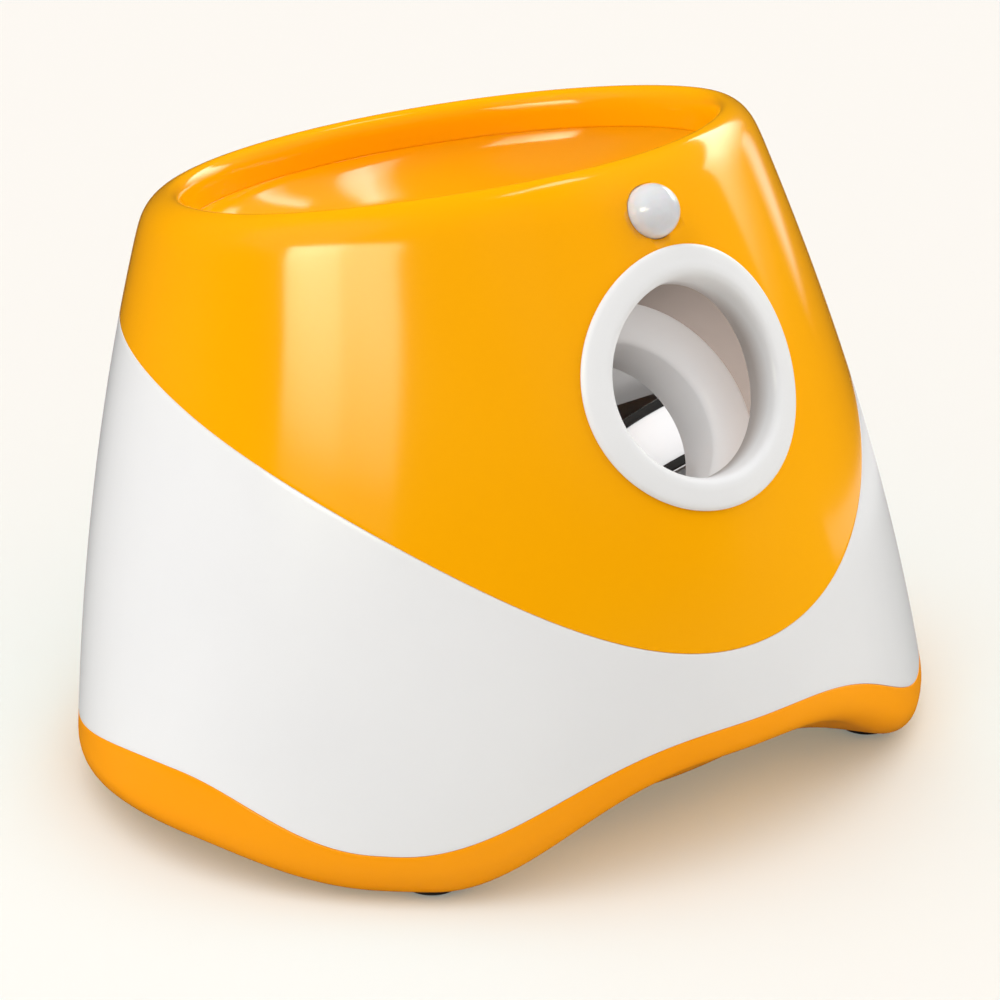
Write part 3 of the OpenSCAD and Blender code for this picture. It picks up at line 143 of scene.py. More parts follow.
def skin_piece(name, rings, closed=True):
    """A skin drawn from ring to ring. It closes on its first ring, or else both ends are capped."""
    bm = bmesh.new()
    row = bmesh.ops.create_circle(bm, segments=len(rings[0]), radius=1.0)["verts"]
    for v, co in zip(row, rings[0]):
        v.co = co
    order = {v: i for i, v in enumerate(row)}
    edges = list(bm.edges)
    for ring in (rings[1:] + rings[:1]) if closed else rings[1:]:
        grown = bmesh.ops.extrude_edge_only(bm, edges=edges)["geom"]
        fresh = {}
        for v in (g for g in grown if isinstance(g, bmesh.types.BMVert)):
            fresh[v] = next(order[e.other_vert(v)] for e in v.link_edges if e.other_vert(v) in order)
        for v, i in fresh.items():
            v.co = ring[i]
        order = fresh
        edges = [g for g in grown if isinstance(g, bmesh.types.BMEdge)]
    if not closed:
        bmesh.ops.holes_fill(bm, edges=[e for e in bm.edges if e.is_boundary], sides=0)
    bmesh.ops.remove_doubles(bm, verts=bm.verts, dist=1e-7)
    bmesh.ops.recalc_face_normals(bm, faces=bm.faces)
    return finish_piece(name, bm)


def finish_piece(name, bm):
    mesh = bpy.data.meshes.new(name)
    for f in bm.faces:
        f.smooth = True
    bm.to_mesh(mesh)
    bm.free()
    piece = bpy.data.objects.new(name, mesh)
    bpy.context.scene.collection.objects.link(piece)
    return piece


def cut_away(piece, bm):
    """Cuts the closed shape in bm out of the piece."""
    tool = finish_piece(piece.name + "_cutter", bm)
    step = piece.modifiers.new("cut", "BOOLEAN")
    step.operation, step.solver, step.object = "DIFFERENCE", "EXACT", tool
    graph = bpy.context.evaluated_depsgraph_get()
    result = bpy.data.meshes.new_from_object(piece.evaluated_get(graph))
    piece.modifiers.remove(step)
    piece.data = result
    bpy.data.objects.remove(tool)


def round_bar(bm, place, radius, depth, segments=96):
    bmesh.ops.create_cone(bm, cap_ends=True, segments=segments, radius1=radius, radius2=radius, depth=depth,
                          matrix=place)


def paint(piece, finish):
    piece.data.materials.clear()
    piece.data.materials.append(finish)


def wear(piece, body):
    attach(piece, body)


# The parts of the noise's range over which colour and roughness drift, and the bump's depth.
SHADE_BAND, POLISH_BAND, GRAIN_DEPTH = (0.32, 0.68), (0.3, 0.7), 0.0002
BROAD_DETAIL, GRAIN_DETAIL = 6, 3


def new_finish(name, scale, shades, rough, bump, bump_scale, stretch=(1, 1, 1), **sockets):
    """A finish whose colour and roughness drift between two values each, with a fine bump. Scales
    are the noise's, per metre; sockets are further inputs of the shader."""
    mat = bpy.data.materials.new(name)
    mat.use_nodes = True
    nodes, links = mat.node_tree.nodes, mat.node_tree.links
    shader = nodes["Principled BSDF"]
    for key, value in sockets.items():
        shader.inputs[key.replace("_", " ")].default_value = value
    place = nodes.new("ShaderNodeTexCoord")
    turn = nodes.new("ShaderNodeMapping")
    turn.inputs["Scale"].default_value = stretch
    links.new(place.outputs["Object"], turn.inputs["Vector"])
    broad = nodes.new("ShaderNodeTexNoise")
    broad.inputs["Scale"].default_value = scale
    broad.inputs["Detail"].default_value = BROAD_DETAIL
    links.new(turn.outputs["Vector"], broad.inputs["Vector"])
    tint = nodes.new("ShaderNodeValToRGB")
    for stop, at, shade in zip(tint.color_ramp.elements, SHADE_BAND, shades):
        stop.position, stop.color = at, (*shade, 1)
    links.new(broad.outputs["Fac"], tint.inputs["Fac"])
    links.new(tint.outputs["Color"], shader.inputs["Base Color"])
    polish = nodes.new("ShaderNodeMapRange")
    polish.inputs["From Min"].default_value, polish.inputs["From Max"].default_value = POLISH_BAND
    polish.inputs["To Min"].default_value, polish.inputs["To Max"].default_value = rough
    links.new(broad.outputs["Fac"], polish.inputs["Value"])
    links.new(polish.outputs["Result"], shader.inputs["Roughness"])
    grain = nodes.new("ShaderNodeTexNoise")
    grain.inputs["Scale"].default_value = bump_scale
    grain.inputs["Detail"].default_value = GRAIN_DETAIL
    links.new(turn.outputs["Vector"], grain.inputs["Vector"])
    lift = nodes.new("ShaderNodeBump")
    lift.inputs["Strength"].default_value = bump
    lift.inputs["Distance"].default_value = GRAIN_DEPTH
    links.new(grain.outputs["Fac"], lift.inputs["Height"])
    links.new(lift.outputs["Normal"], shader.inputs["Normal"])
    return mat


glossy_orange = new_finish("glossy_orange", 7, ((0.99, 0.41, 0.0), (1.0, 0.435, 0.0)), (0.10, 0.15),
                           0.04, 260, Specular_IOR_Level=0.5)

# The rim's section as inset and drop: over the top to its lip, then back along its inside.
RIM_SECTION = [(0.0, 0.0140), (0.0001, 0.0090), (0.0006, 0.0056), (0.0018, 0.0029), (0.0038, 0.0009),
               (0.0063, 0.0), (0.0087, 0.0008), (0.0106, 0.0026), (0.0120, 0.0052), (0.0130, 0.0085),
               (0.0139, 0.0119)]
LIP, LIP_OVER = 0.0120, 0.0014
UNDER_RIM = [(RIM_W + LIP_OVER - 0.0001, LIP), (0.0104, LIP), (0.0101, LIP - 0.0004), (0.0101, 0.0070),
             (0.0086, 0.0034), (0.0063, 0.0024), (0.0044, 0.0036), (0.0027, 0.0075), (WALL, 0.0110)]
RIM_INSIDE, EDGE_BAND, RIM_BAND = 0.014, 0.0012, 0.003

cover_rings = seam_edge(parting_z, 1)
cover_rings.append(around(lambda a: outline(a, parting_z(a) + SEAM / 2 + EDGE_BAND)))
cover_rings += wall_rings(lambda a: parting_z(a) + RIM_BAND, lambda a: rim_at(a, 0, RIM_SECTION[0][1]).z,
                          fractions(24)[1:-1])
cover_rings += [around(lambda a: rim_at(a, inset, drop))
                for inset, drop in smooth_path(RIM_SECTION, 4) + UNDER_RIM]
cover_rings += wall_rings(lambda a: rim_at(a, WALL, RIM_INSIDE).z, lambda a: parting_z(a) + SEAM / 2,
                          fractions(8), WALL)
upper_cover = skin_piece("upper_cover", cover_rings)

MOUTH_Y, MOUTH_Z, MOUTH_TILT = 0.0912, 0.1387, math.radians(26.5)
at_mouth = Matrix.Translation((0, -MOUTH_Y, MOUTH_Z)) @ Matrix.Rotation(math.pi / 2 - MOUTH_TILT, 4, "X")
LENS_Z, LENS_TILT, LENS_R, LENS_GAP = 0.180, math.radians(32), 0.0078, 0.0002
at_lens = (Matrix.Translation((0, outline(0.0, LENS_Z).y, LENS_Z))
           @ Matrix.Rotation(math.pi / 2 - LENS_TILT, 4, "X"))
MOUTH_HOLE_R, MOUTH_HOLE_L, LENS_HOLE_L = 0.0306, 0.06, 0.02
holes = bmesh.new()
round_bar(holes, at_mouth, MOUTH_HOLE_R, MOUTH_HOLE_L)
round_bar(holes, at_lens, LENS_R + LENS_GAP, LENS_HOLE_L)
cut_away(upper_cover, holes)
paint(upper_cover, glossy_orange)
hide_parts("upper_shell")
wear(upper_cover, "housing")

# ---- Hopper bowl ----
# The bowl is a separate orange moulding under the rim. It runs down from the rim's inner lip to
# a round spout behind the middle, so that balls roll to the hole, and it hangs from four bosses.

BOWL_WALL = 0.0022
DROP_R, DROP_Y, DROP_Z, SPOUT_L = 0.028, 0.014, 0.124, 0.007
# How far the section bulges from a straight line to a quarter of an ellipse.
FRONT_ROUND, REAR_ROUND = 0.03, 0.65
# Next to the lip the wall is steeper: it starts with LIP_LEAN of its slope and bends within LIP_BEND.
LIP_BEND, LIP_LEAN, LIP_SEAM = 0.1, 0.35, 0.00001


def spout_at(angle, wide, drop):
    r = DROP_R + wide
    return Vector((r * math.sin(angle), DROP_Y - r * math.cos(angle), DROP_Z - drop))


def bowl_at(angle, share, out):
    """A point of the bowl, from the lip (share 0) to the drop hole (1). Out 0 is the inside."""
    top = rim_at(angle, RIM_W - out + LIP_OVER * (1 - out / BOWL_WALL), LIP + LIP_SEAM)
    low = spout_at(angle, out, out)
    bulge = FRONT_ROUND + (REAR_ROUND - FRONT_ROUND) * (1 - math.cos(angle)) / 2
    turn = math.pi / 2 * share
    across = share + (1 - math.cos(turn) - share) * bulge
    bent = (math.sqrt(across ** 2 + LIP_BEND ** 2) - LIP_BEND) / (math.sqrt(1 + LIP_BEND ** 2) - LIP_BEND)
    across = LIP_LEAN * across + (1 - LIP_LEAN) * bent
    down = share + (math.sin(turn) - share) * bulge
    return Vector((top.x + (low.x - top.x) * across, top.y + (low.y - top.y) * across,
                   top.z + (low.z - top.z) * down))


BOWL_EDGE, TOP_EDGE = 0.0003, 0.0002
SPOUT_SECTION = [(0.0007, 0.0), (0.0002, 0.0006), (0.0, 0.0012), (0.0, SPOUT_L - BOWL_EDGE),
                 (BOWL_EDGE, SPOUT_L), (BOWL_WALL - BOWL_EDGE, SPOUT_L), (BOWL_WALL, SPOUT_L - BOWL_EDGE)]
bowl_shares = [0.002, 0.006, 0.012, 0.018] + fractions(40)[1:]
bowl_rings = [around(lambda a: bowl_at(a, share, BOWL_WALL)) for share in bowl_shares[::-1]]
bowl_rings += [around(lambda a: bowl_at(a, 0.0, out))
               for out in (BOWL_WALL, BOWL_WALL - BOWL_EDGE, TOP_EDGE, 0.0)]
bowl_rings += [around(lambda a: bowl_at(a, share, 0.0)) for share in bowl_shares[:-1]]
bowl_rings += [around(lambda a: spout_at(a, wide, drop)) for wide, drop in SPOUT_SECTION]
bowl = skin_piece("bowl", bowl_rings)
paint(bowl, glossy_orange)
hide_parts("hopper_bowl")
wear(bowl, "housing")

# ---- Lower cover ----
# The lower cover is a white ABS moulding with a softer polish. Its upper edge is the arc under
# the orange cover, its lower edge the wave of the base, and the rear panel fills its one opening.

glossy_white = new_finish("glossy_white", 9, ((0.83, 0.83, 0.835), (0.87, 0.87, 0.87)), (0.18, 0.26),
                          0.05, 320)

# Two waved lines, the trim's upper edge and the base's lower edge: the angle at which the front
# arch ends, and the heights at the front, its corners, the sides, the rear corners and the rear.
TRIM = (math.radians(50), 0.0431, 0.0153, 0.0285, 0.0155, 0.0250)
EDGE = (math.radians(45), 0.0315, 0.0022, 0.0080, 0.0022, 0.0090)
CORNER_END, SIDE_A, REAR_A = math.radians(53), math.radians(83.5), math.radians(132)
ARCH_FLAT = 1.55


def ease(f):
    return (1 - math.cos(math.pi * f)) / 2


def wave(angle, line):
    down, front, corner, side, rear_corner, rear = line
    b = abs(angle - 2 * math.pi) if angle > math.pi else angle
    if b < down:
        return front + (corner - front) * ease((math.sin(b) / math.sin(down)) ** ARCH_FLAT)
    if b < CORNER_END:
        return corner
    if b < SIDE_A:
        return corner + (side - corner) * ease((b - CORNER_END) / (SIDE_A - CORNER_END))
    if b < REAR_A:
        return side + (rear_corner - side) * ease((b - SIDE_A) / (REAR_A - SIDE_A))
    return rear_corner + (rear - rear_corner) * ease((b - REAR_A) / (math.pi - REAR_A))


def trim_z(angle):
    return wave(angle, TRIM)


COVER_BAND = 0.0015
lower_rings = seam_edge(trim_z, 1)
lower_rings += wall_rings(lambda a: trim_z(a) + COVER_BAND, lambda a: parting_z(a) - COVER_BAND,
                          fractions(20))
lower_rings += seam_edge(parting_z, -1)
lower_rings += wall_rings(lambda a: parting_z(a) - SEAM / 2, lambda a: trim_z(a) + SEAM / 2,
                          fractions(6), WALL)
lower_cover = skin_piece("lower_cover", lower_rings)

PANEL_W, PANEL_H, PANEL_Z, PANEL_R, PANEL_SUNK, PANEL_GAP = 0.064, 0.036, 0.080, 0.009, 0.0065, 0.0002
PANEL_Y = outline(math.pi, PANEL_Z).y - PANEL_SUNK
PANEL_HOLE_IN, PANEL_HOLE_OUT = 0.020, 0.040


def plate_shape(bm, width, height, radius, y_from, y_to):
    """A plate with round corners that faces the rear, at the panel's height."""
    for v in bmesh.ops.create_cube(bm, size=1.0)["verts"]:
        v.co = Vector((v.co.x * width, (y_from + y_to) / 2 + v.co.y * (y_to - y_from),
                       PANEL_Z + v.co.z * height))
    corners = [e for e in bm.edges if abs(e.verts[0].co.y - e.verts[1].co.y) > 1e-6]
    bmesh.ops.bevel(bm, geom=corners, offset=radius, segments=12, affect="EDGES", profile=0.5, material=-1)


holes = bmesh.new()
plate_shape(holes, PANEL_W + 2 * PANEL_GAP, PANEL_H + 2 * PANEL_GAP, PANEL_R,
            PANEL_Y - PANEL_HOLE_IN, PANEL_Y + PANEL_HOLE_OUT)
cut_away(lower_cover, holes)
paint(lower_cover, glossy_white)
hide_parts("lower_shell")
wear(lower_cover, "housing")

# ---- Base tray ----
# The base is an orange moulding whose waved edge shows as the trim. It rolls under the body with
# a 9.5 mm radius, arches at the front, and carries the rails of the battery door under its belly.

satin_orange = new_finish("satin_orange", 8, ((0.98, 0.335, 0.0), (1.0, 0.36, 0.0)), (0.20, 0.28), 0.06, 300,
                          Specular_IOR_Level=0.3)

EDGE_R, BELLY_Z, TRAY_WALL, TRIM_BAND = 0.0095, 0.008, 0.0025, 0.0008
TRAY_FLOOR = BELLY_Z + TRAY_WALL
# The underside's section: how far in, and which share of the way it has come to the belly.
BELLY = [(0.0095, 0.0), (0.019, 0.12), (0.027, 0.42), (0.037, 0.80), (0.047, 1.0), (0.060, 1.0), (0.075, 1.0)]


def under_at(angle, inset, share, grow):
    z = wave(angle, EDGE) * (1 - share) + BELLY_Z * share + grow
    return outline(angle, max(z, TRAY_FLOOR if grow else 0.0), inset)


def edge_at(angle, turn, grow):
    r = EDGE_R - grow
    z = wave(angle, EDGE) + EDGE_R - r * math.cos(turn)
    return outline(angle, max(z, TRAY_FLOOR if grow else 0.0), EDGE_R - r * math.sin(turn))


base_rings = [around(lambda a: under_at(a, i, s, 0.0)) for i, s in smooth_path(BELLY, 4)[::-1]]
base_rings += [around(lambda a: edge_at(a, math.radians(t), 0.0)) for t in range(9, 91, 9)]
base_rings += wall_rings(lambda a: wave(a, EDGE) + EDGE_R, lambda a: trim_z(a) - TRIM_BAND,
                         fractions(5)[1:-1])
base_rings += seam_edge(trim_z, -1)
base_rings.append(around(lambda a: outline(a, trim_z(a) - SEAM / 2, TRAY_WALL)))
base_rings += [around(lambda a: edge_at(a, math.radians(t), TRAY_WALL)) for t in range(90, -1, -18)]
base_rings += [around(lambda a: under_at(a, i, s, TRAY_WALL)) for i, s in BELLY]
base = skin_piece("base", base_rings, closed=False)

CELL_D, CELL_L, CELL_GAP, CELL_ENDS = 0.026, 0.050, 0.0004, 0.008
BOX_X, BOX_Y, BOX_DEEP = 2 * CELL_L + CELL_ENDS, 0.012, 3 * (CELL_D + CELL_GAP) + CELL_GAP
BOX_HOLE_FROM, BOX_HOLE_TO = -0.002, 0.020
DOOR_LAP, DOOR_T, SLIP, DOOR_END = 0.0024, 0.0022, 0.0002, 0.0034
DOOR_HALF = BOX_X / 2 + DOOR_LAP
FOOT_D, FOOT_H, HOLE_PAST, SEAT_TURNS = 0.016, 0.006, 0.001, 64
FEET = [outline(math.radians(side * turn), 0.0, inset)
        for turn, inset in ((46, 0.0175), (134, 0.026)) for side in (1, -1)]


def block(bm, corner, opposite):
    """A block between two opposite corners."""
    low, high = [min(pair) for pair in zip(corner, opposite)], [max(pair) for pair in zip(corner, opposite)]
    for v in bmesh.ops.create_cube(bm, size=1.0)["verts"]:
        v.co = Vector([low[i] + (high[i] - low[i]) * (v.co[i] + 0.5) for i in range(3)])


def soften(bm, radius=0.0002):
    """A small round on every edge."""
    bmesh.ops.bevel(bm, geom=list(bm.edges), offset=radius, segments=2, affect="EDGES", profile=0.5,
                    material=-1)


holes = bmesh.new()
block(holes, (-BOX_X / 2, BOX_Y, BOX_HOLE_FROM), (BOX_X / 2, BOX_Y + BOX_DEEP, BOX_HOLE_TO))
cut_away(base, holes)
holes = bmesh.new()
block(holes, (-DOOR_HALF - SLIP, BOX_Y - DOOR_END, -HOLE_PAST),
      (DOOR_HALF + SLIP, BOX_Y + BOX_DEEP + DOOR_END, BELLY_Z))
for foot in FEET:
    seat = Matrix.Translation((foot.x, foot.y, FOOT_H / 2 - HOLE_PAST))
    round_bar(holes, seat, FOOT_D / 2, FOOT_H + 2 * HOLE_PAST, SEAT_TURNS)
cut_away(base, holes)
paint(base, satin_orange)
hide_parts("base_tray")
wear(base, "housing")

RAIL_W, RAIL_LIP, RAIL_LIP_T, RAIL_ROOT, RAIL_UNDER, RAIL_SHORT = 0.003, 0.0016, 0.0010, 0.0006, 0.0012, 0.012
rail_end = BOX_Y + BOX_DEEP - RAIL_SHORT
rail_under = BELLY_Z - DOOR_T - SLIP - RAIL_UNDER
rails = bmesh.new()
for side in (-1, 1):
    inner = side * (DOOR_HALF + SLIP)
    block(rails, (inner, BOX_Y, rail_under), (inner + side * RAIL_W, rail_end, BELLY_Z + RAIL_ROOT))
    block(rails, (inner - side * RAIL_LIP, BOX_Y, rail_under - SLIP),
          (inner, rail_end, rail_under + RAIL_LIP_T))
soften(rails)
door_rails = finish_piece("door_rails", rails)
paint(door_rails, satin_orange)
wear(door_rails, "housing")

# ---- Rubber feet ----
# Four moulded rubber feet are pressed into round seats in the base's lobes. Each has a rounded
# edge and a shallow ring in its tread.

soft_rubber = new_finish("soft_rubber", 60, ((0.013, 0.013, 0.013), (0.026, 0.026, 0.025)), (0.62, 0.85),
                         0.35, 1400)
FOOT_SECTION = [(0.0, 0.0007), (0.0042, 0.0007), (0.0045, 0.0), (0.0068, 0.0), (0.0074, 0.0002),
                (0.0078, 0.0007), (0.00798, 0.0013), (0.00798, FOOT_H - 0.0001), (0.0, FOOT_H - 0.0001)]
FOOT_TURNS = 48


def turned(section, place, segments):
    """A part turned on a lathe: a closed section in (radius, height) is spun about the Z axis."""
    bm = bmesh.new()
    line = [bm.verts.new((r, 0, h)) for r, h in section]
    edges = [bm.edges.new((a, b)) for a, b in zip(line, line[1:])]
    if section[0] != section[-1] and (section[0][0] > 1e-9 or section[-1][0] > 1e-9):
        edges.append(bm.edges.new((line[-1], line[0])))
    bmesh.ops.spin(bm, geom=line + edges, cent=(0, 0, 0), axis=(0, 0, 1), angle=2 * math.pi, steps=segments,
                   use_merge=True)
    bmesh.ops.remove_doubles(bm, verts=bm.verts, dist=1e-6)
    bmesh.ops.dissolve_degenerate(bm, dist=1e-7, edges=bm.edges)
    bmesh.ops.recalc_face_normals(bm, faces=bm.faces)
    bmesh.ops.transform(bm, matrix=place, verts=bm.verts)
    return bm


def add_shape(bm, other):
    """Adds the shape in other to bm."""
    part = bpy.data.meshes.new("part")
    other.to_mesh(part)
    other.free()
    bm.from_mesh(part)
    bpy.data.meshes.remove(part)


feet = bmesh.new()
for foot in FEET:
    add_shape(feet, turned(FOOT_SECTION, Matrix.Translation((foot.x, foot.y, 0)), FOOT_TURNS))
foot_set = finish_piece("foot_set", feet)
paint(foot_set, soft_rubber)
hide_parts("rubber_feet")
wear(foot_set, "housing")

# ---- Nozzle ring ----
# The ring is a white ABS bezel that follows the curved front. Its face is almost flat, and it
# flares softly into the throat; its spigot passes through the cover. Deep in the throat its white
# darkens to a warm grey, a painted shade for the little light that comes there.

RING_R, RING_PROUD, THROAT_R, SPIGOT_L, SPIGOT_WALL = 0.0372, 0.0018, 0.0276, 0.011, 0.0026
SPIGOT_EDGE, RING_SEAT, THROAT_TURNS = 0.0004, 0.0003, 160


def front_y(x, z):
    """The y of the body's front at x and z, found in a few rounds."""
    half, draw = through_four(HALF_W, z), front_draw(z)
    s = x / half
    for _ in range(8):
        s = x / half / (1 - 4 * draw * s * s * (1 - s * s))
    return (through_four(MIDDLE_Y, z)
            - through_four(HALF_D, z) * math.sqrt(1 - s * s) * (1 - 4 * draw * s * s * (1 - s * s)))


def mouth_at(radius, b, lift):
    """A point at a radius from the nozzle's axis, lifted off the body's front along that axis."""
    x, up, t = radius * math.sin(b), radius * math.cos(b), 0.0
    for _ in range(10):
        y = front_y(x, MOUTH_Z + up * math.cos(MOUTH_TILT) + t * math.sin(MOUTH_TILT))
        t = (-MOUTH_Y + up * math.sin(MOUTH_TILT) - y) / math.cos(MOUTH_TILT)
    t += lift
    return Vector((x, -MOUTH_Y + up * math.sin(MOUTH_TILT) - t * math.cos(MOUTH_TILT),
                   MOUTH_Z + up * math.cos(MOUTH_TILT) + t * math.sin(MOUTH_TILT)))


ring_section = [(THROAT_R + SPIGOT_WALL, RING_SEAT), (RING_R - RING_SEAT, RING_SEAT)]
ring_section += smooth_path([(RING_R, 0.0005), (RING_R - 0.0001, RING_PROUD * 0.55),
                             (RING_R - 0.0008, RING_PROUD * 0.9), (RING_R - 0.0022, RING_PROUD),
                             (RING_R - 0.0045, RING_PROUD), (THROAT_R + 0.0036, RING_PROUD * 0.98),
                             (THROAT_R + 0.0022, RING_PROUD * 0.80), (THROAT_R + 0.0010, RING_PROUD * 0.25),
                             (THROAT_R + 0.0004, -0.0010), (THROAT_R + 0.0001, -0.0030)], 4)
ring_section += [(THROAT_R, -0.0055), (THROAT_R, SPIGOT_EDGE - SPIGOT_L), (THROAT_R + 0.0003, -SPIGOT_L),
                 (THROAT_R + 0.0023, -SPIGOT_L), (THROAT_R + SPIGOT_WALL, SPIGOT_EDGE - SPIGOT_L)]
mouth_ring = skin_piece("mouth_ring", [around(lambda b: mouth_at(r, -b, lift), THROAT_TURNS)
                                       for r, lift in ring_section])
satin_white = new_finish("satin_white", 14, ((0.84, 0.84, 0.84), (0.875, 0.875, 0.875)), (0.30, 0.40),
                         0.06, 500)
ring_white = satin_white.copy()
ring_white.name = "ring_white"
mouth_axis = Vector((0, -math.cos(MOUTH_TILT), math.sin(MOUTH_TILT)))
mouth_level = mouth_axis.dot(Vector((0, -MOUTH_Y, MOUTH_Z)))
# Painted shade: the further along the nozzle's axis, the more the ring's white is mixed towards a warm grey.
INSIDE_FROM, INSIDE_TO, INSIDE_SHADE = -0.0085, -0.0140, (0.62, 0.57, 0.54)
nodes, links = ring_white.node_tree.nodes, ring_white.node_tree.links
shader = nodes["Principled BSDF"]
depth = nodes.new("ShaderNodeVectorMath")
depth.operation = "DOT_PRODUCT"
depth.inputs[1].default_value = mouth_axis
links.new(next(n for n in nodes if n.type == "TEX_COORD").outputs["Object"], depth.inputs[0])
shade_mask = nodes.new("ShaderNodeMapRange")
shade_mask.inputs["From Min"].default_value = mouth_level + INSIDE_FROM
shade_mask.inputs["From Max"].default_value = mouth_level + INSIDE_TO
links.new(depth.outputs["Value"], shade_mask.inputs["Value"])
darken = nodes.new("ShaderNodeMix")
darken.data_type = "RGBA"
darken.inputs["B"].default_value = (*INSIDE_SHADE, 1)
links.new(shade_mask.outputs["Result"], darken.inputs["Factor"])
links.new(shader.inputs["Base Color"].links[0].from_socket, darken.inputs["A"])
links.new(darken.outputs["Result"], shader.inputs["Base Color"])
paint(mouth_ring, ring_white)
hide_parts("nozzle_ring")
wear(mouth_ring, "housing")

# ---- Barrel ----
# At the end of the grey well stands the barrel, a white moulded bell mouth with a 52 mm bore. Its
# flange closes the well, and its two ears are screwed to the frame's posts.

LAUNCH_TILT, NIP_DEPTH = math.radians(40), 0.075
NIP = Vector((0, -MOUTH_Y + NIP_DEPTH * math.cos(LAUNCH_TILT), MOUTH_Z - NIP_DEPTH * math.sin(LAUNCH_TILT)))
in_frame = Matrix.Translation(NIP) @ Matrix.Rotation(-LAUNCH_TILT, 4, "X")
quarter_turn = Matrix.Rotation(math.pi / 2, 4, "X")
BARREL_R, BARREL_WALL, WELL_R = 0.026, 0.002, 0.037
FLARE_FROM, FLARE_L, BARREL_FROM, BARREL_EDGE = 0.034, 0.005, 0.0192, 0.0003
FLANGE_T, FLANGE_IN, FLARE_THIN = 0.002, 0.001, 0.0006
FLARE_TO = FLARE_FROM + FLARE_L
flare_in = WELL_R - FLANGE_IN - BARREL_R
barrel_out, flange_out = BARREL_R + BARREL_WALL, WELL_R + BARREL_WALL


def flare(radius, wide, start, turns):
    """A quarter of an ellipse, from the bore out to the flange."""
    return [(radius + wide * (1 - math.cos(t)), start + FLARE_L * math.sin(t))
            for t in map(math.radians, turns)]


bell = [(BARREL_R, BARREL_FROM + BARREL_EDGE)]
bell += flare(BARREL_R, flare_in, FLARE_FROM, range(0, 91, 5))
bell += [(flange_out, FLARE_TO), (flange_out, FLARE_TO - FLANGE_T)]
bell += flare(barrel_out, flare_in - FLARE_THIN, FLARE_FROM - BARREL_WALL, range(90, -1, -10))
bell += [(barrel_out, BARREL_FROM + BARREL_EDGE), (barrel_out - BARREL_EDGE, BARREL_FROM),
         (BARREL_R + BARREL_EDGE, BARREL_FROM)]
EAR_Y, EAR_T, EAR_OUT, EAR_HALF, EAR_LAP, EAR_STEM = 0.0326, 0.002, 0.050, 0.006, 0.0006, 0.0014
EAR_SCREW_X, EAR_HOLE_R, EAR_HOLE_L, EAR_HOLE_TURNS = 0.046, 0.0013, 0.008, 32
ears = bmesh.new()
for side in (-1, 1):
    root = side * (flange_out - EAR_LAP)
    block(ears, (root, -FLARE_TO, -EAR_HALF), (side * (flange_out + EAR_STEM), EAR_T - EAR_Y, EAR_HALF))
    block(ears, (root, -EAR_Y, -EAR_HALF), (side * EAR_OUT, EAR_T - EAR_Y, EAR_HALF))
soften(ears)
bmesh.ops.transform(ears, matrix=in_frame, verts=ears.verts)
barrel_shape = turned(bell, in_frame @ quarter_turn, THROAT_TURNS)
add_shape(barrel_shape, ears)
barrel = finish_piece("barrel", barrel_shape)
holes = bmesh.new()
for side in (-1, 1):
    at_screw = in_frame @ Matrix.Translation((side * EAR_SCREW_X, -EAR_Y, 0)) @ quarter_turn
    round_bar(holes, at_screw, EAR_HOLE_R, EAR_HOLE_L, EAR_HOLE_TURNS)
cut_away(barrel, holes)
paint(barrel, satin_white)
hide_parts("launch_barrel")
wear(barrel, "housing")

# ---- Wheels ----
# Two moulded drums on the motors' shafts throw the ball. Each drum is glossy white and wears two
# black rubber bands in grooves, which grip the ball.

drum_white = new_finish("drum_white", 18, ((0.80, 0.80, 0.81), (0.87, 0.87, 0.87)), (0.10, 0.22), 0.04, 420)

WHEEL_R, BAND_PROUD, BAND_GROOVE, BAND_W, TREAD_W = 0.030, 0.001, 0.0008, 0.0026, 0.021
BALL_D, SQUEEZE = 0.050, 0.005
WHEEL_X = (BALL_D - SQUEEZE) / 2 + WHEEL_R
PLATE_IN, HUB_CLEAR, HUB_R, HUB_EDGE, SHAFT_R = 0.026, 0.0015, 0.005, 0.0004, 0.00115
EDGE_IN, GROOVE_EDGE, WEB_IN, WEB_R, WEB_ROUND = 0.0003, 0.0002, 0.003, 0.0045, 0.0035
BAND_SEAT, BAND_SHOULDER, BAND_EDGE, WHEEL_TURNS = 0.00002, 0.0006, 0.0002, 160
hub_to = HUB_CLEAR - PLATE_IN
drum_r, half_tread = WHEEL_R - BAND_PROUD, TREAD_W / 2
groove_r = drum_r - BAND_GROOVE
band_out = half_tread - EDGE_IN
band_in = band_out - BAND_W
drum_section = [(SHAFT_R, hub_to), (HUB_R - HUB_EDGE, hub_to), (HUB_R, hub_to + HUB_EDGE),
                (HUB_R, WEB_IN - half_tread), (drum_r - WEB_R, WEB_IN - half_tread),
                (drum_r - WEB_ROUND, -half_tread), (groove_r - EDGE_IN, -half_tread),
                (groove_r, -half_tread + GROOVE_EDGE), (groove_r, -band_in), (drum_r - EDGE_IN, -band_in),
                (drum_r, -band_in + EDGE_IN), (drum_r - EDGE_IN, 0.0), (drum_r, band_in - EDGE_IN),
                (drum_r - EDGE_IN, band_in), (groove_r, band_in), (groove_r, half_tread - GROOVE_EDGE),
                (groove_r - EDGE_IN, half_tread), (drum_r - WEB_ROUND, half_tread),
                (drum_r - WEB_R, half_tread - WEB_IN), (HUB_R, half_tread - WEB_IN),
                (SHAFT_R, half_tread - WEB_IN)]
band_section = [(groove_r, band_in + BAND_SEAT), (WHEEL_R - BAND_SHOULDER, band_in + BAND_SEAT),
                (WHEEL_R - BAND_EDGE, band_in + BAND_EDGE), (WHEEL_R, band_in + BAND_SHOULDER),
                (WHEEL_R, band_out - BAND_SHOULDER), (WHEEL_R - BAND_EDGE, band_out - BAND_EDGE),
                (WHEEL_R - BAND_SHOULDER, band_out), (groove_r, band_out)]
lower_band = [(r, -h) for r, h in band_section][::-1]
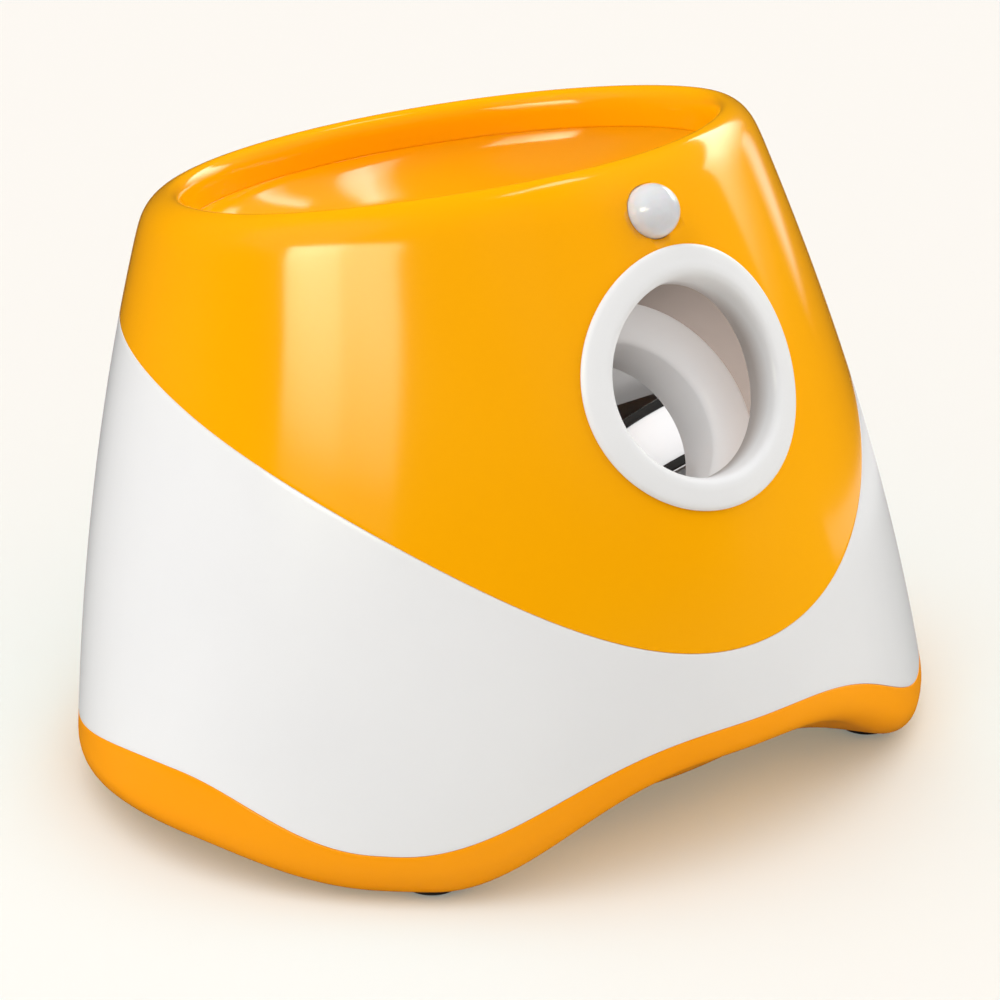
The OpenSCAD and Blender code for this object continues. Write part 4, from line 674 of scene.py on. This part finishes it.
for side, name in ((-1, "left"), (1, "right")):
    place = in_frame @ Matrix.Translation((side * WHEEL_X, 0, 0))
    drum = finish_piece("drum_" + name, turned(drum_section, place, WHEEL_TURNS))
    paint(drum, drum_white)
    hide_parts("flywheel_" + name)
    wear(drum, "wheel_" + name)
    bands = turned(band_section, place, WHEEL_TURNS)
    add_shape(bands, turned(lower_band, place, WHEEL_TURNS))
    band_pair = finish_piece("bands_" + name, bands)
    paint(band_pair, soft_rubber)
    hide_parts("flywheel_bands_" + name)
    wear(band_pair, "wheel_" + name)

# ---- Sensor lens ----
# The motion sensor looks out through a pearl-white polyethylene dome above the nozzle. Its
# inside is pressed into small lens facets, which show faintly through the smooth outside.

pearl = new_finish("pearl", 90, ((0.70, 0.71, 0.735), (0.76, 0.77, 0.79)), (0.14, 0.22), 0.03, 500,
                   Subsurface_Weight=0.25, Subsurface_Scale=0.003, Coat_Weight=0.4, Coat_Roughness=0.08)
FACETS, FACET_PRESS, FACET_DEPTH = 420, 0.25, 0.0004
nodes, links = pearl.node_tree.nodes, pearl.node_tree.links
shader = nodes["Principled BSDF"]
facets = nodes.new("ShaderNodeTexVoronoi")
facets.inputs["Scale"].default_value = FACETS
press = nodes.new("ShaderNodeBump")
press.inputs["Strength"].default_value, press.inputs["Distance"].default_value = FACET_PRESS, FACET_DEPTH
links.new(next(n for n in nodes if n.type == "TEX_COORD").outputs["Object"], facets.inputs["Vector"])
links.new(facets.outputs["Distance"], press.inputs["Height"])
links.new(shader.inputs["Normal"].links[0].from_socket, press.inputs["Normal"])
links.new(press.outputs["Normal"], shader.inputs["Normal"])

LENS_WALL, LENS_INSIDE, LENS_FLANGE, FLANGE_TOP, FLANGE_UNDER = 0.0012, -0.0020, 0.001, -0.0032, -0.0044
LENS_TURNS = 96
dome = [(0.0, LENS_R)]
dome += [(LENS_R * math.sin(t), LENS_R * math.cos(t)) for t in map(math.radians, range(3, 91, 3))]
dome += [(LENS_R, FLANGE_TOP), (LENS_R + LENS_FLANGE, FLANGE_TOP), (LENS_R + LENS_FLANGE, FLANGE_UNDER),
         (LENS_R - LENS_WALL, FLANGE_UNDER), (LENS_R - LENS_WALL, LENS_INSIDE), (0.0, LENS_INSIDE)]
lens = finish_piece("lens", turned(dome, at_lens, LENS_TURNS))
paint(lens, pearl)
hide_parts("sensor_lens")
wear(lens, "housing")

# ---- Parts that keep their CAD shape ----
# The well, frame, motors, feed, battery box, panel, board and screws are moulded, machined or
# bought parts of plain shapes, so they only get their finishes here. The well's grey is darkened
# and warmed as painted shade.

frame_grey = new_finish("frame_grey", 20, ((0.55, 0.54, 0.53), (0.63, 0.62, 0.61)), (0.45, 0.6), 0.15, 700)
# The well's grey is darkened and warmed as painted shade. Its own lamp is raised to light the side that faces
# it.
well_grey = new_finish("well_grey", 24, ((0.28, 0.23, 0.20), (0.32, 0.265, 0.235)), (0.40, 0.52), 0.12, 700)
matt_black = new_finish("matt_black", 40, ((0.022, 0.022, 0.022), (0.04, 0.04, 0.04)), (0.42, 0.6), 0.12, 900)
natural = new_finish("natural", 30, ((0.74, 0.71, 0.62), (0.80, 0.77, 0.69)), (0.35, 0.48), 0.08, 600)
bright_steel = new_finish("bright_steel", 60, ((0.48, 0.48, 0.49), (0.62, 0.62, 0.63)), (0.18, 0.34),
                          0.08, 900, (1, 1, 8), Metallic=1.0)
plated_can = new_finish("plated_can", 40, ((0.42, 0.42, 0.43), (0.55, 0.55, 0.55)), (0.28, 0.42), 0.1, 700,
                        Metallic=1.0)
brass = new_finish("brass", 70, ((0.60, 0.42, 0.17), (0.74, 0.54, 0.25)), (0.28, 0.45), 0.15, 1200,
                   Metallic=1.0)
light_pipe = new_finish("light_pipe", 50, ((0.40, 0.70, 0.40), (0.5, 0.8, 0.5)), (0.10, 0.16), 0.03, 500,
                        Transmission_Weight=0.3)
board_green = new_finish("board_green", 300, ((0.012, 0.09, 0.035), (0.03, 0.15, 0.065)), (0.3, 0.42),
                         0.2, 900, (1, 3, 1))
cell_wrap = new_finish("cell_wrap", 25, ((0.05, 0.058, 0.07), (0.075, 0.085, 0.10)), (0.2, 0.32), 0.06, 400)
red_vinyl = new_finish("red_vinyl", 120, ((0.36, 0.010, 0.008), (0.46, 0.016, 0.012)), (0.34, 0.5), 0.06, 900)
black_vinyl = new_finish("black_vinyl", 120, ((0.009, 0.009, 0.009), (0.02, 0.02, 0.02)), (0.34, 0.5),
                         0.06, 900)
white_vinyl = new_finish("white_vinyl", 120, ((0.66, 0.66, 0.64), (0.74, 0.74, 0.72)), (0.34, 0.5), 0.06, 900)
kept = {
    "nozzle_well": well_grey, "frame_lower": frame_grey, "frame_upper": frame_grey,
    "frame_posts": bright_steel, "drop_chute": frame_grey, "motor_shaft_left": bright_steel,
    "motor_shaft_right": bright_steel, "motor_left": plated_can, "motor_right": plated_can,
    "motor_screws": bright_steel, "feed_arm": natural, "feed_shaft": bright_steel, "feed_gear": natural,
    "feed_pinion": natural, "feed_motor": plated_can, "feed_bushes": brass, "ball_lever": natural,
    "lever_pin": bright_steel, "lever_switch": matt_black, "battery_box": frame_grey,
    "battery_cells": cell_wrap, "battery_contacts": bright_steel, "battery_door": satin_orange,
    "control_panel": satin_white, "power_button": satin_orange, "distance_knob": satin_white,
    "status_lights": light_pipe, "dc_inlet": matt_black, "main_board": board_green,
    "board_parts": matt_black, "board_screws": bright_steel, "sensor_board": board_green,
    "bowl_screws": bright_steel, "shell_screws": bright_steel, "base_screws": bright_steel,
    "frame_screws": bright_steel, "red_leads": red_vinyl, "black_leads": black_vinyl,
    "signal_leads": white_vinyl}
for name, finish in kept.items():
    paint(cad[name], finish)

# ---- Floor and light ----
# A pale floor, a faint even sky and soft lamps. Some lamps light only a few pieces, to bring their
# tones to the photograph's. Panels that are seen in gloss alone draw the streaks and highlights.

WHITE, LAMP_OFF = (1.0, 1.0, 1.0), 3.0
FLOOR_HALF, FLOOR_COLOUR, FLOOR_ROUGH = 6.0, (0.66, 0.95, 0.95), 0.9
SKY_COLOUR, SKY_STRENGTH = (1.0, 0.99, 0.97), 0.02

floor_mesh = bmesh.new()
bmesh.ops.create_grid(floor_mesh, x_segments=1, y_segments=1, size=FLOOR_HALF)
floor = finish_piece("floor", floor_mesh)
floor_paint = bpy.data.materials.new("floor_paint")
floor_paint.use_nodes = True
shader = floor_paint.node_tree.nodes["Principled BSDF"]
shader.inputs["Base Color"].default_value = (*FLOOR_COLOUR, 1)
shader.inputs["Roughness"].default_value = FLOOR_ROUGH
shader.inputs["Specular IOR Level"].default_value = 0.0
paint(floor, floor_paint)
floor.visible_glossy = False

world = bpy.context.scene.world or bpy.data.worlds.new("world")
bpy.context.scene.world = world
world.use_nodes = True
sky = world.node_tree.nodes["Background"]
sky.inputs["Color"].default_value = (*SKY_COLOUR, 1)
sky.inputs["Strength"].default_value = SKY_STRENGTH


def away_from(azimuth, elevation):
    """A direction: 0 is the nozzle's side, 90 is +X."""
    a, e = math.radians(azimuth), math.radians(elevation)
    return Vector((math.sin(a) * math.cos(e), -math.cos(a) * math.cos(e), math.sin(e)))


def link_to(obj, targets, state=None):
    """Lets a lamp or panel light only the targets, or all but the targets where state is EXCLUDE."""
    receivers = bpy.data.collections.new(obj.name)
    for target in targets:
        receivers.objects.link(target)
    if state:
        for target in receivers.collection_objects:
            target.light_linking.link_state = state
    obj.light_linking.receiver_collection = receivers


def soft_lamp(name, direction, level, spread, only=(), but=(), shadows=True, tint=WHITE):
    """A wide soft lamp. At level 1 it lights a surface that faces it to the colour as written."""
    data = bpy.data.lights.new(name, "SUN")
    data.energy, data.angle, data.use_shadow = level * math.pi, math.radians(spread), shadows
    data.color = tint
    obj = bpy.data.objects.new(name, data)
    obj.location = away_from(*direction) * LAMP_OFF
    obj.rotation_mode = "QUATERNION"
    obj.rotation_quaternion = away_from(*direction).to_track_quat("Z", "Y")
    obj.visible_glossy = False
    bpy.context.scene.collection.objects.link(obj)
    link_to(obj, only or but, "INCLUDE" if only else "EXCLUDE")


def reflector(name, corners, level, across, upward, tint=WHITE, seen_in=()):
    """A studio panel that is only seen in gloss. Corners run bottom left, bottom right, top right,
    top left as seen from the object; across and upward are ramps of its brightness."""
    bm = bmesh.new()
    made = bmesh.ops.create_grid(bm, x_segments=1, y_segments=1, size=0.5)["verts"]
    layer = bm.loops.layers.uv.new("UVMap")
    for face in bm.faces:
        for loop in face.loops:
            loop[layer].uv = (loop.vert.co.x + 0.5, loop.vert.co.y + 0.5)
    for v in made:
        right, high = v.co.x > 0, v.co.y > 0
        v.co = Vector(corners[(2 if right else 3) if high else (1 if right else 0)])
    panel = finish_piece(name, bm)
    glow_paint = bpy.data.materials.new(name)
    glow_paint.use_nodes = True
    nodes, links = glow_paint.node_tree.nodes, glow_paint.node_tree.links
    nodes.remove(nodes["Principled BSDF"])
    glow = nodes.new("ShaderNodeEmission")
    glow.inputs["Color"].default_value = (*tint, 1)
    place = nodes.new("ShaderNodeTexCoord")
    split = nodes.new("ShaderNodeSeparateXYZ")
    links.new(place.outputs["UV"], split.inputs["Vector"])
    power = nodes.new("ShaderNodeMath")
    power.operation = "MULTIPLY"
    for k, (axis, stops) in enumerate((("X", across), ("Y", upward))):
        ramp = nodes.new("ShaderNodeValToRGB")
        ramp.color_ramp.elements.remove(ramp.color_ramp.elements[1])
        for n, (at, shade) in enumerate(stops):
            stop = ramp.color_ramp.elements[0] if n == 0 else ramp.color_ramp.elements.new(at)
            stop.position, stop.color = at, (shade, shade, shade, 1)
        links.new(split.outputs[axis], ramp.inputs["Fac"])
        links.new(ramp.outputs["Color"], power.inputs[k])
    scale = nodes.new("ShaderNodeMath")
    scale.operation = "MULTIPLY"
    scale.inputs[1].default_value = level
    links.new(power.outputs[0], scale.inputs[0])
    links.new(scale.outputs[0], glow.inputs["Strength"])
    links.new(glow.outputs[0], nodes["Material Output"].inputs["Surface"])
    paint(panel, glow_paint)
    panel.visible_camera = panel.visible_diffuse = panel.visible_shadow = panel.visible_transmission = False
    if seen_in:
        link_to(panel, seen_in)


PANEL_FROM, PANEL_OFF = Vector((0, 0.03, 0.15)), 3.0


def far(azimuth, elevation):
    """A panel's corner, far out in a direction from the middle of the rim."""
    return PANEL_FROM + away_from(azimuth, elevation) * PANEL_OFF


# Directions are azimuth and elevation in degrees; after its direction each lamp has its level and
# how many degrees wide it is.
LEFT_HIGH, RIGHT_HIGH, INTO_NOZZLE, FROM_BELOW = (-105, 45), (60, 40), (-65, 32), (-30, -25)
floor_tint, fill_tint = (1.0, 0.624, 0.581), (1.0, 0.80, 0.78)
soft_lamp("left_key", LEFT_HIGH, 0.58, 50, but=[floor, bowl])
soft_lamp("bowl_key", LEFT_HIGH, 0.36, 50, only=[bowl])
soft_lamp("bowl_fill", RIGHT_HIGH, 0.35, 60, only=[bowl])
soft_lamp("rim_fill", RIGHT_HIGH, 0.12, 60, only=[upper_cover])
soft_lamp("trim_fill", (40, 8), 0.16, 60, only=[base])
soft_lamp("rear_fill", (-150, 30), 0.15, 60, but=[floor])
soft_lamp("front_fill", (5, 40), 0.12, 60, but=[floor])
soft_lamp("right_fill", (80, 25), 0.68, 90, but=[floor])
soft_lamp("top_fill", (0, 89), 0.38, 150, but=[floor])
soft_lamp("floor_lamp", (-60, 75), 1.19, 130, only=[floor], tint=floor_tint)
soft_lamp("floor_fill", (30, 80), 0.33, 60, only=[floor], shadows=False, tint=fill_tint)

# Lamps for the pieces inside the nozzle, which no other lamp reaches.
wheel_set = [bpy.data.objects[n] for n in ("drum_left", "drum_right", "bands_left", "bands_right")]
throat = [barrel, cad["frame_lower"], cad["frame_upper"]]
inner = [cad[n] for n in ("frame_lower", "frame_upper", "drop_chute", "feed_arm", "motor_left",
                          "motor_right")]
soft_lamp("wheel_lamp", INTO_NOZZLE, 1.0, 20, only=wheel_set, shadows=False)
soft_lamp("well_lamp", INTO_NOZZLE, 1.5, 20, only=[cad["nozzle_well"]], shadows=False)
soft_lamp("throat_lamp", INTO_NOZZLE, 0.5, 20, only=throat, shadows=False)
soft_lamp("inner_fill", FROM_BELOW, 0.45, 20, only=inner, shadows=False)

# Ramps are (place, brightness). The two left panels share the edge between their corners.
EVEN, FADE = ((0.0, 1.0), (1.0, 1.0)), ((0.0, 0.0), (0.06, 1.0), (0.94, 1.0), (1.0, 0.0))
LEFT_NEAR, LEFT_FAR = (-2.608, -1.505, 0.837), (-3.045, 0.147, 0.661)
LOW_NEAR, LOW_FAR = (-2.608, -1.505, 0.45), (-3.045, 0.147, 0.40)
TABLE_Z = 0.002
reflector("left_panel", (LEFT_FAR, LEFT_NEAR, (-2.05, -1.543, 1.85), (-2.85, 0.22, 1.50)), 13.0,
          ((0.0, 0.85), (0.25, 1.0), (0.52, 0.85), (0.60, 0.55), (1.0, 0.5)),
          ((0.0, 0.22), (0.22, 0.50), (0.45, 0.78), (1.0, 1.0)), tint=(1.0, 1.0, 0.75))
reflector("left_low_panel", (LOW_FAR, LOW_NEAR, LEFT_NEAR, LEFT_FAR), 0.25, EVEN, EVEN)
reflector("right_panel", ((3.0, -0.30, 0.0), (3.0, 1.6, 0.0), (2.4, 1.6, 1.5), (2.9, -0.45, 1.2)), 6.5,
          ((0.0, 0.5), (0.3, 1.0), (1.0, 1.0)),
          ((0.0, 0.0), (0.15, 0.04), (0.35, 0.25), (0.65, 0.7), (1.0, 1.0)), tint=(1.0, 1.0, 0.85))
reflector("right_edge", (far(102, -9), far(114, -9), far(114, 3), far(102, 3)), 1.6,
          ((0.0, 0.0), (0.4, 1.0), (0.7, 0.8), (1.0, 0.0)), FADE)
reflector("bowl_strip", (far(44, 14), far(63, 14), far(88, 54), far(68, 54)), 8.0,
          ((0.0, 0.0), (0.45, 0.35), (0.85, 1.0), (1.0, 0.5)), FADE, seen_in=[bowl])
reflector("overhead", (far(-14, 26), far(21, 33), far(100, 66), far(112, 77)), 10.0,
          ((0.0, 0.0), (0.25, 0.3), (0.45, 0.5), (0.6, 1.0), (0.85, 0.7), (1.0, 0.0)), FADE, seen_in=[bowl])
reflector("shoulder_strip", (far(98, 62), far(120, 62), far(120, 84), far(98, 84)), 5.0, FADE, FADE,
          seen_in=[upper_cover])
reflector("right_table", ((0.430, -0.172, TABLE_Z), (0.600, -0.215, TABLE_Z), (0.300, 0.130, TABLE_Z),
                          (0.20, 0.13, TABLE_Z)), 0.65, EVEN, EVEN)

# ---- Camera ----
# The camera stands where the photograph was taken from; its place was fitted to the outlines.

CAM_AZ, CAM_EL, CAM_DIST = math.radians(39.457), math.radians(23.063), 1.7468
CAM_AIM = Vector((0, -0.000884, 0.071444))
SENSOR_W, FOCAL_RATIO, CLIP_FROM, CLIP_TO = 36.0, 5.992, 0.05, 50.0
camera_data = bpy.data.cameras.new("camera")
camera = bpy.data.objects.new("camera", camera_data)
bpy.context.scene.collection.objects.link(camera)
toward = Vector((-math.sin(CAM_AZ) * math.cos(CAM_EL), -math.cos(CAM_AZ) * math.cos(CAM_EL),
                 math.sin(CAM_EL)))
camera.location = CAM_AIM + toward * CAM_DIST
camera.rotation_mode = "QUATERNION"
camera.rotation_quaternion = toward.to_track_quat("Z", "Y")
camera_data.sensor_width = SENSOR_W
camera_data.lens = FOCAL_RATIO * SENSOR_W
camera_data.clip_start, camera_data.clip_end = CLIP_FROM, CLIP_TO
bpy.context.scene.camera = camera
bpy.context.scene.view_settings.view_transform = "Standard"
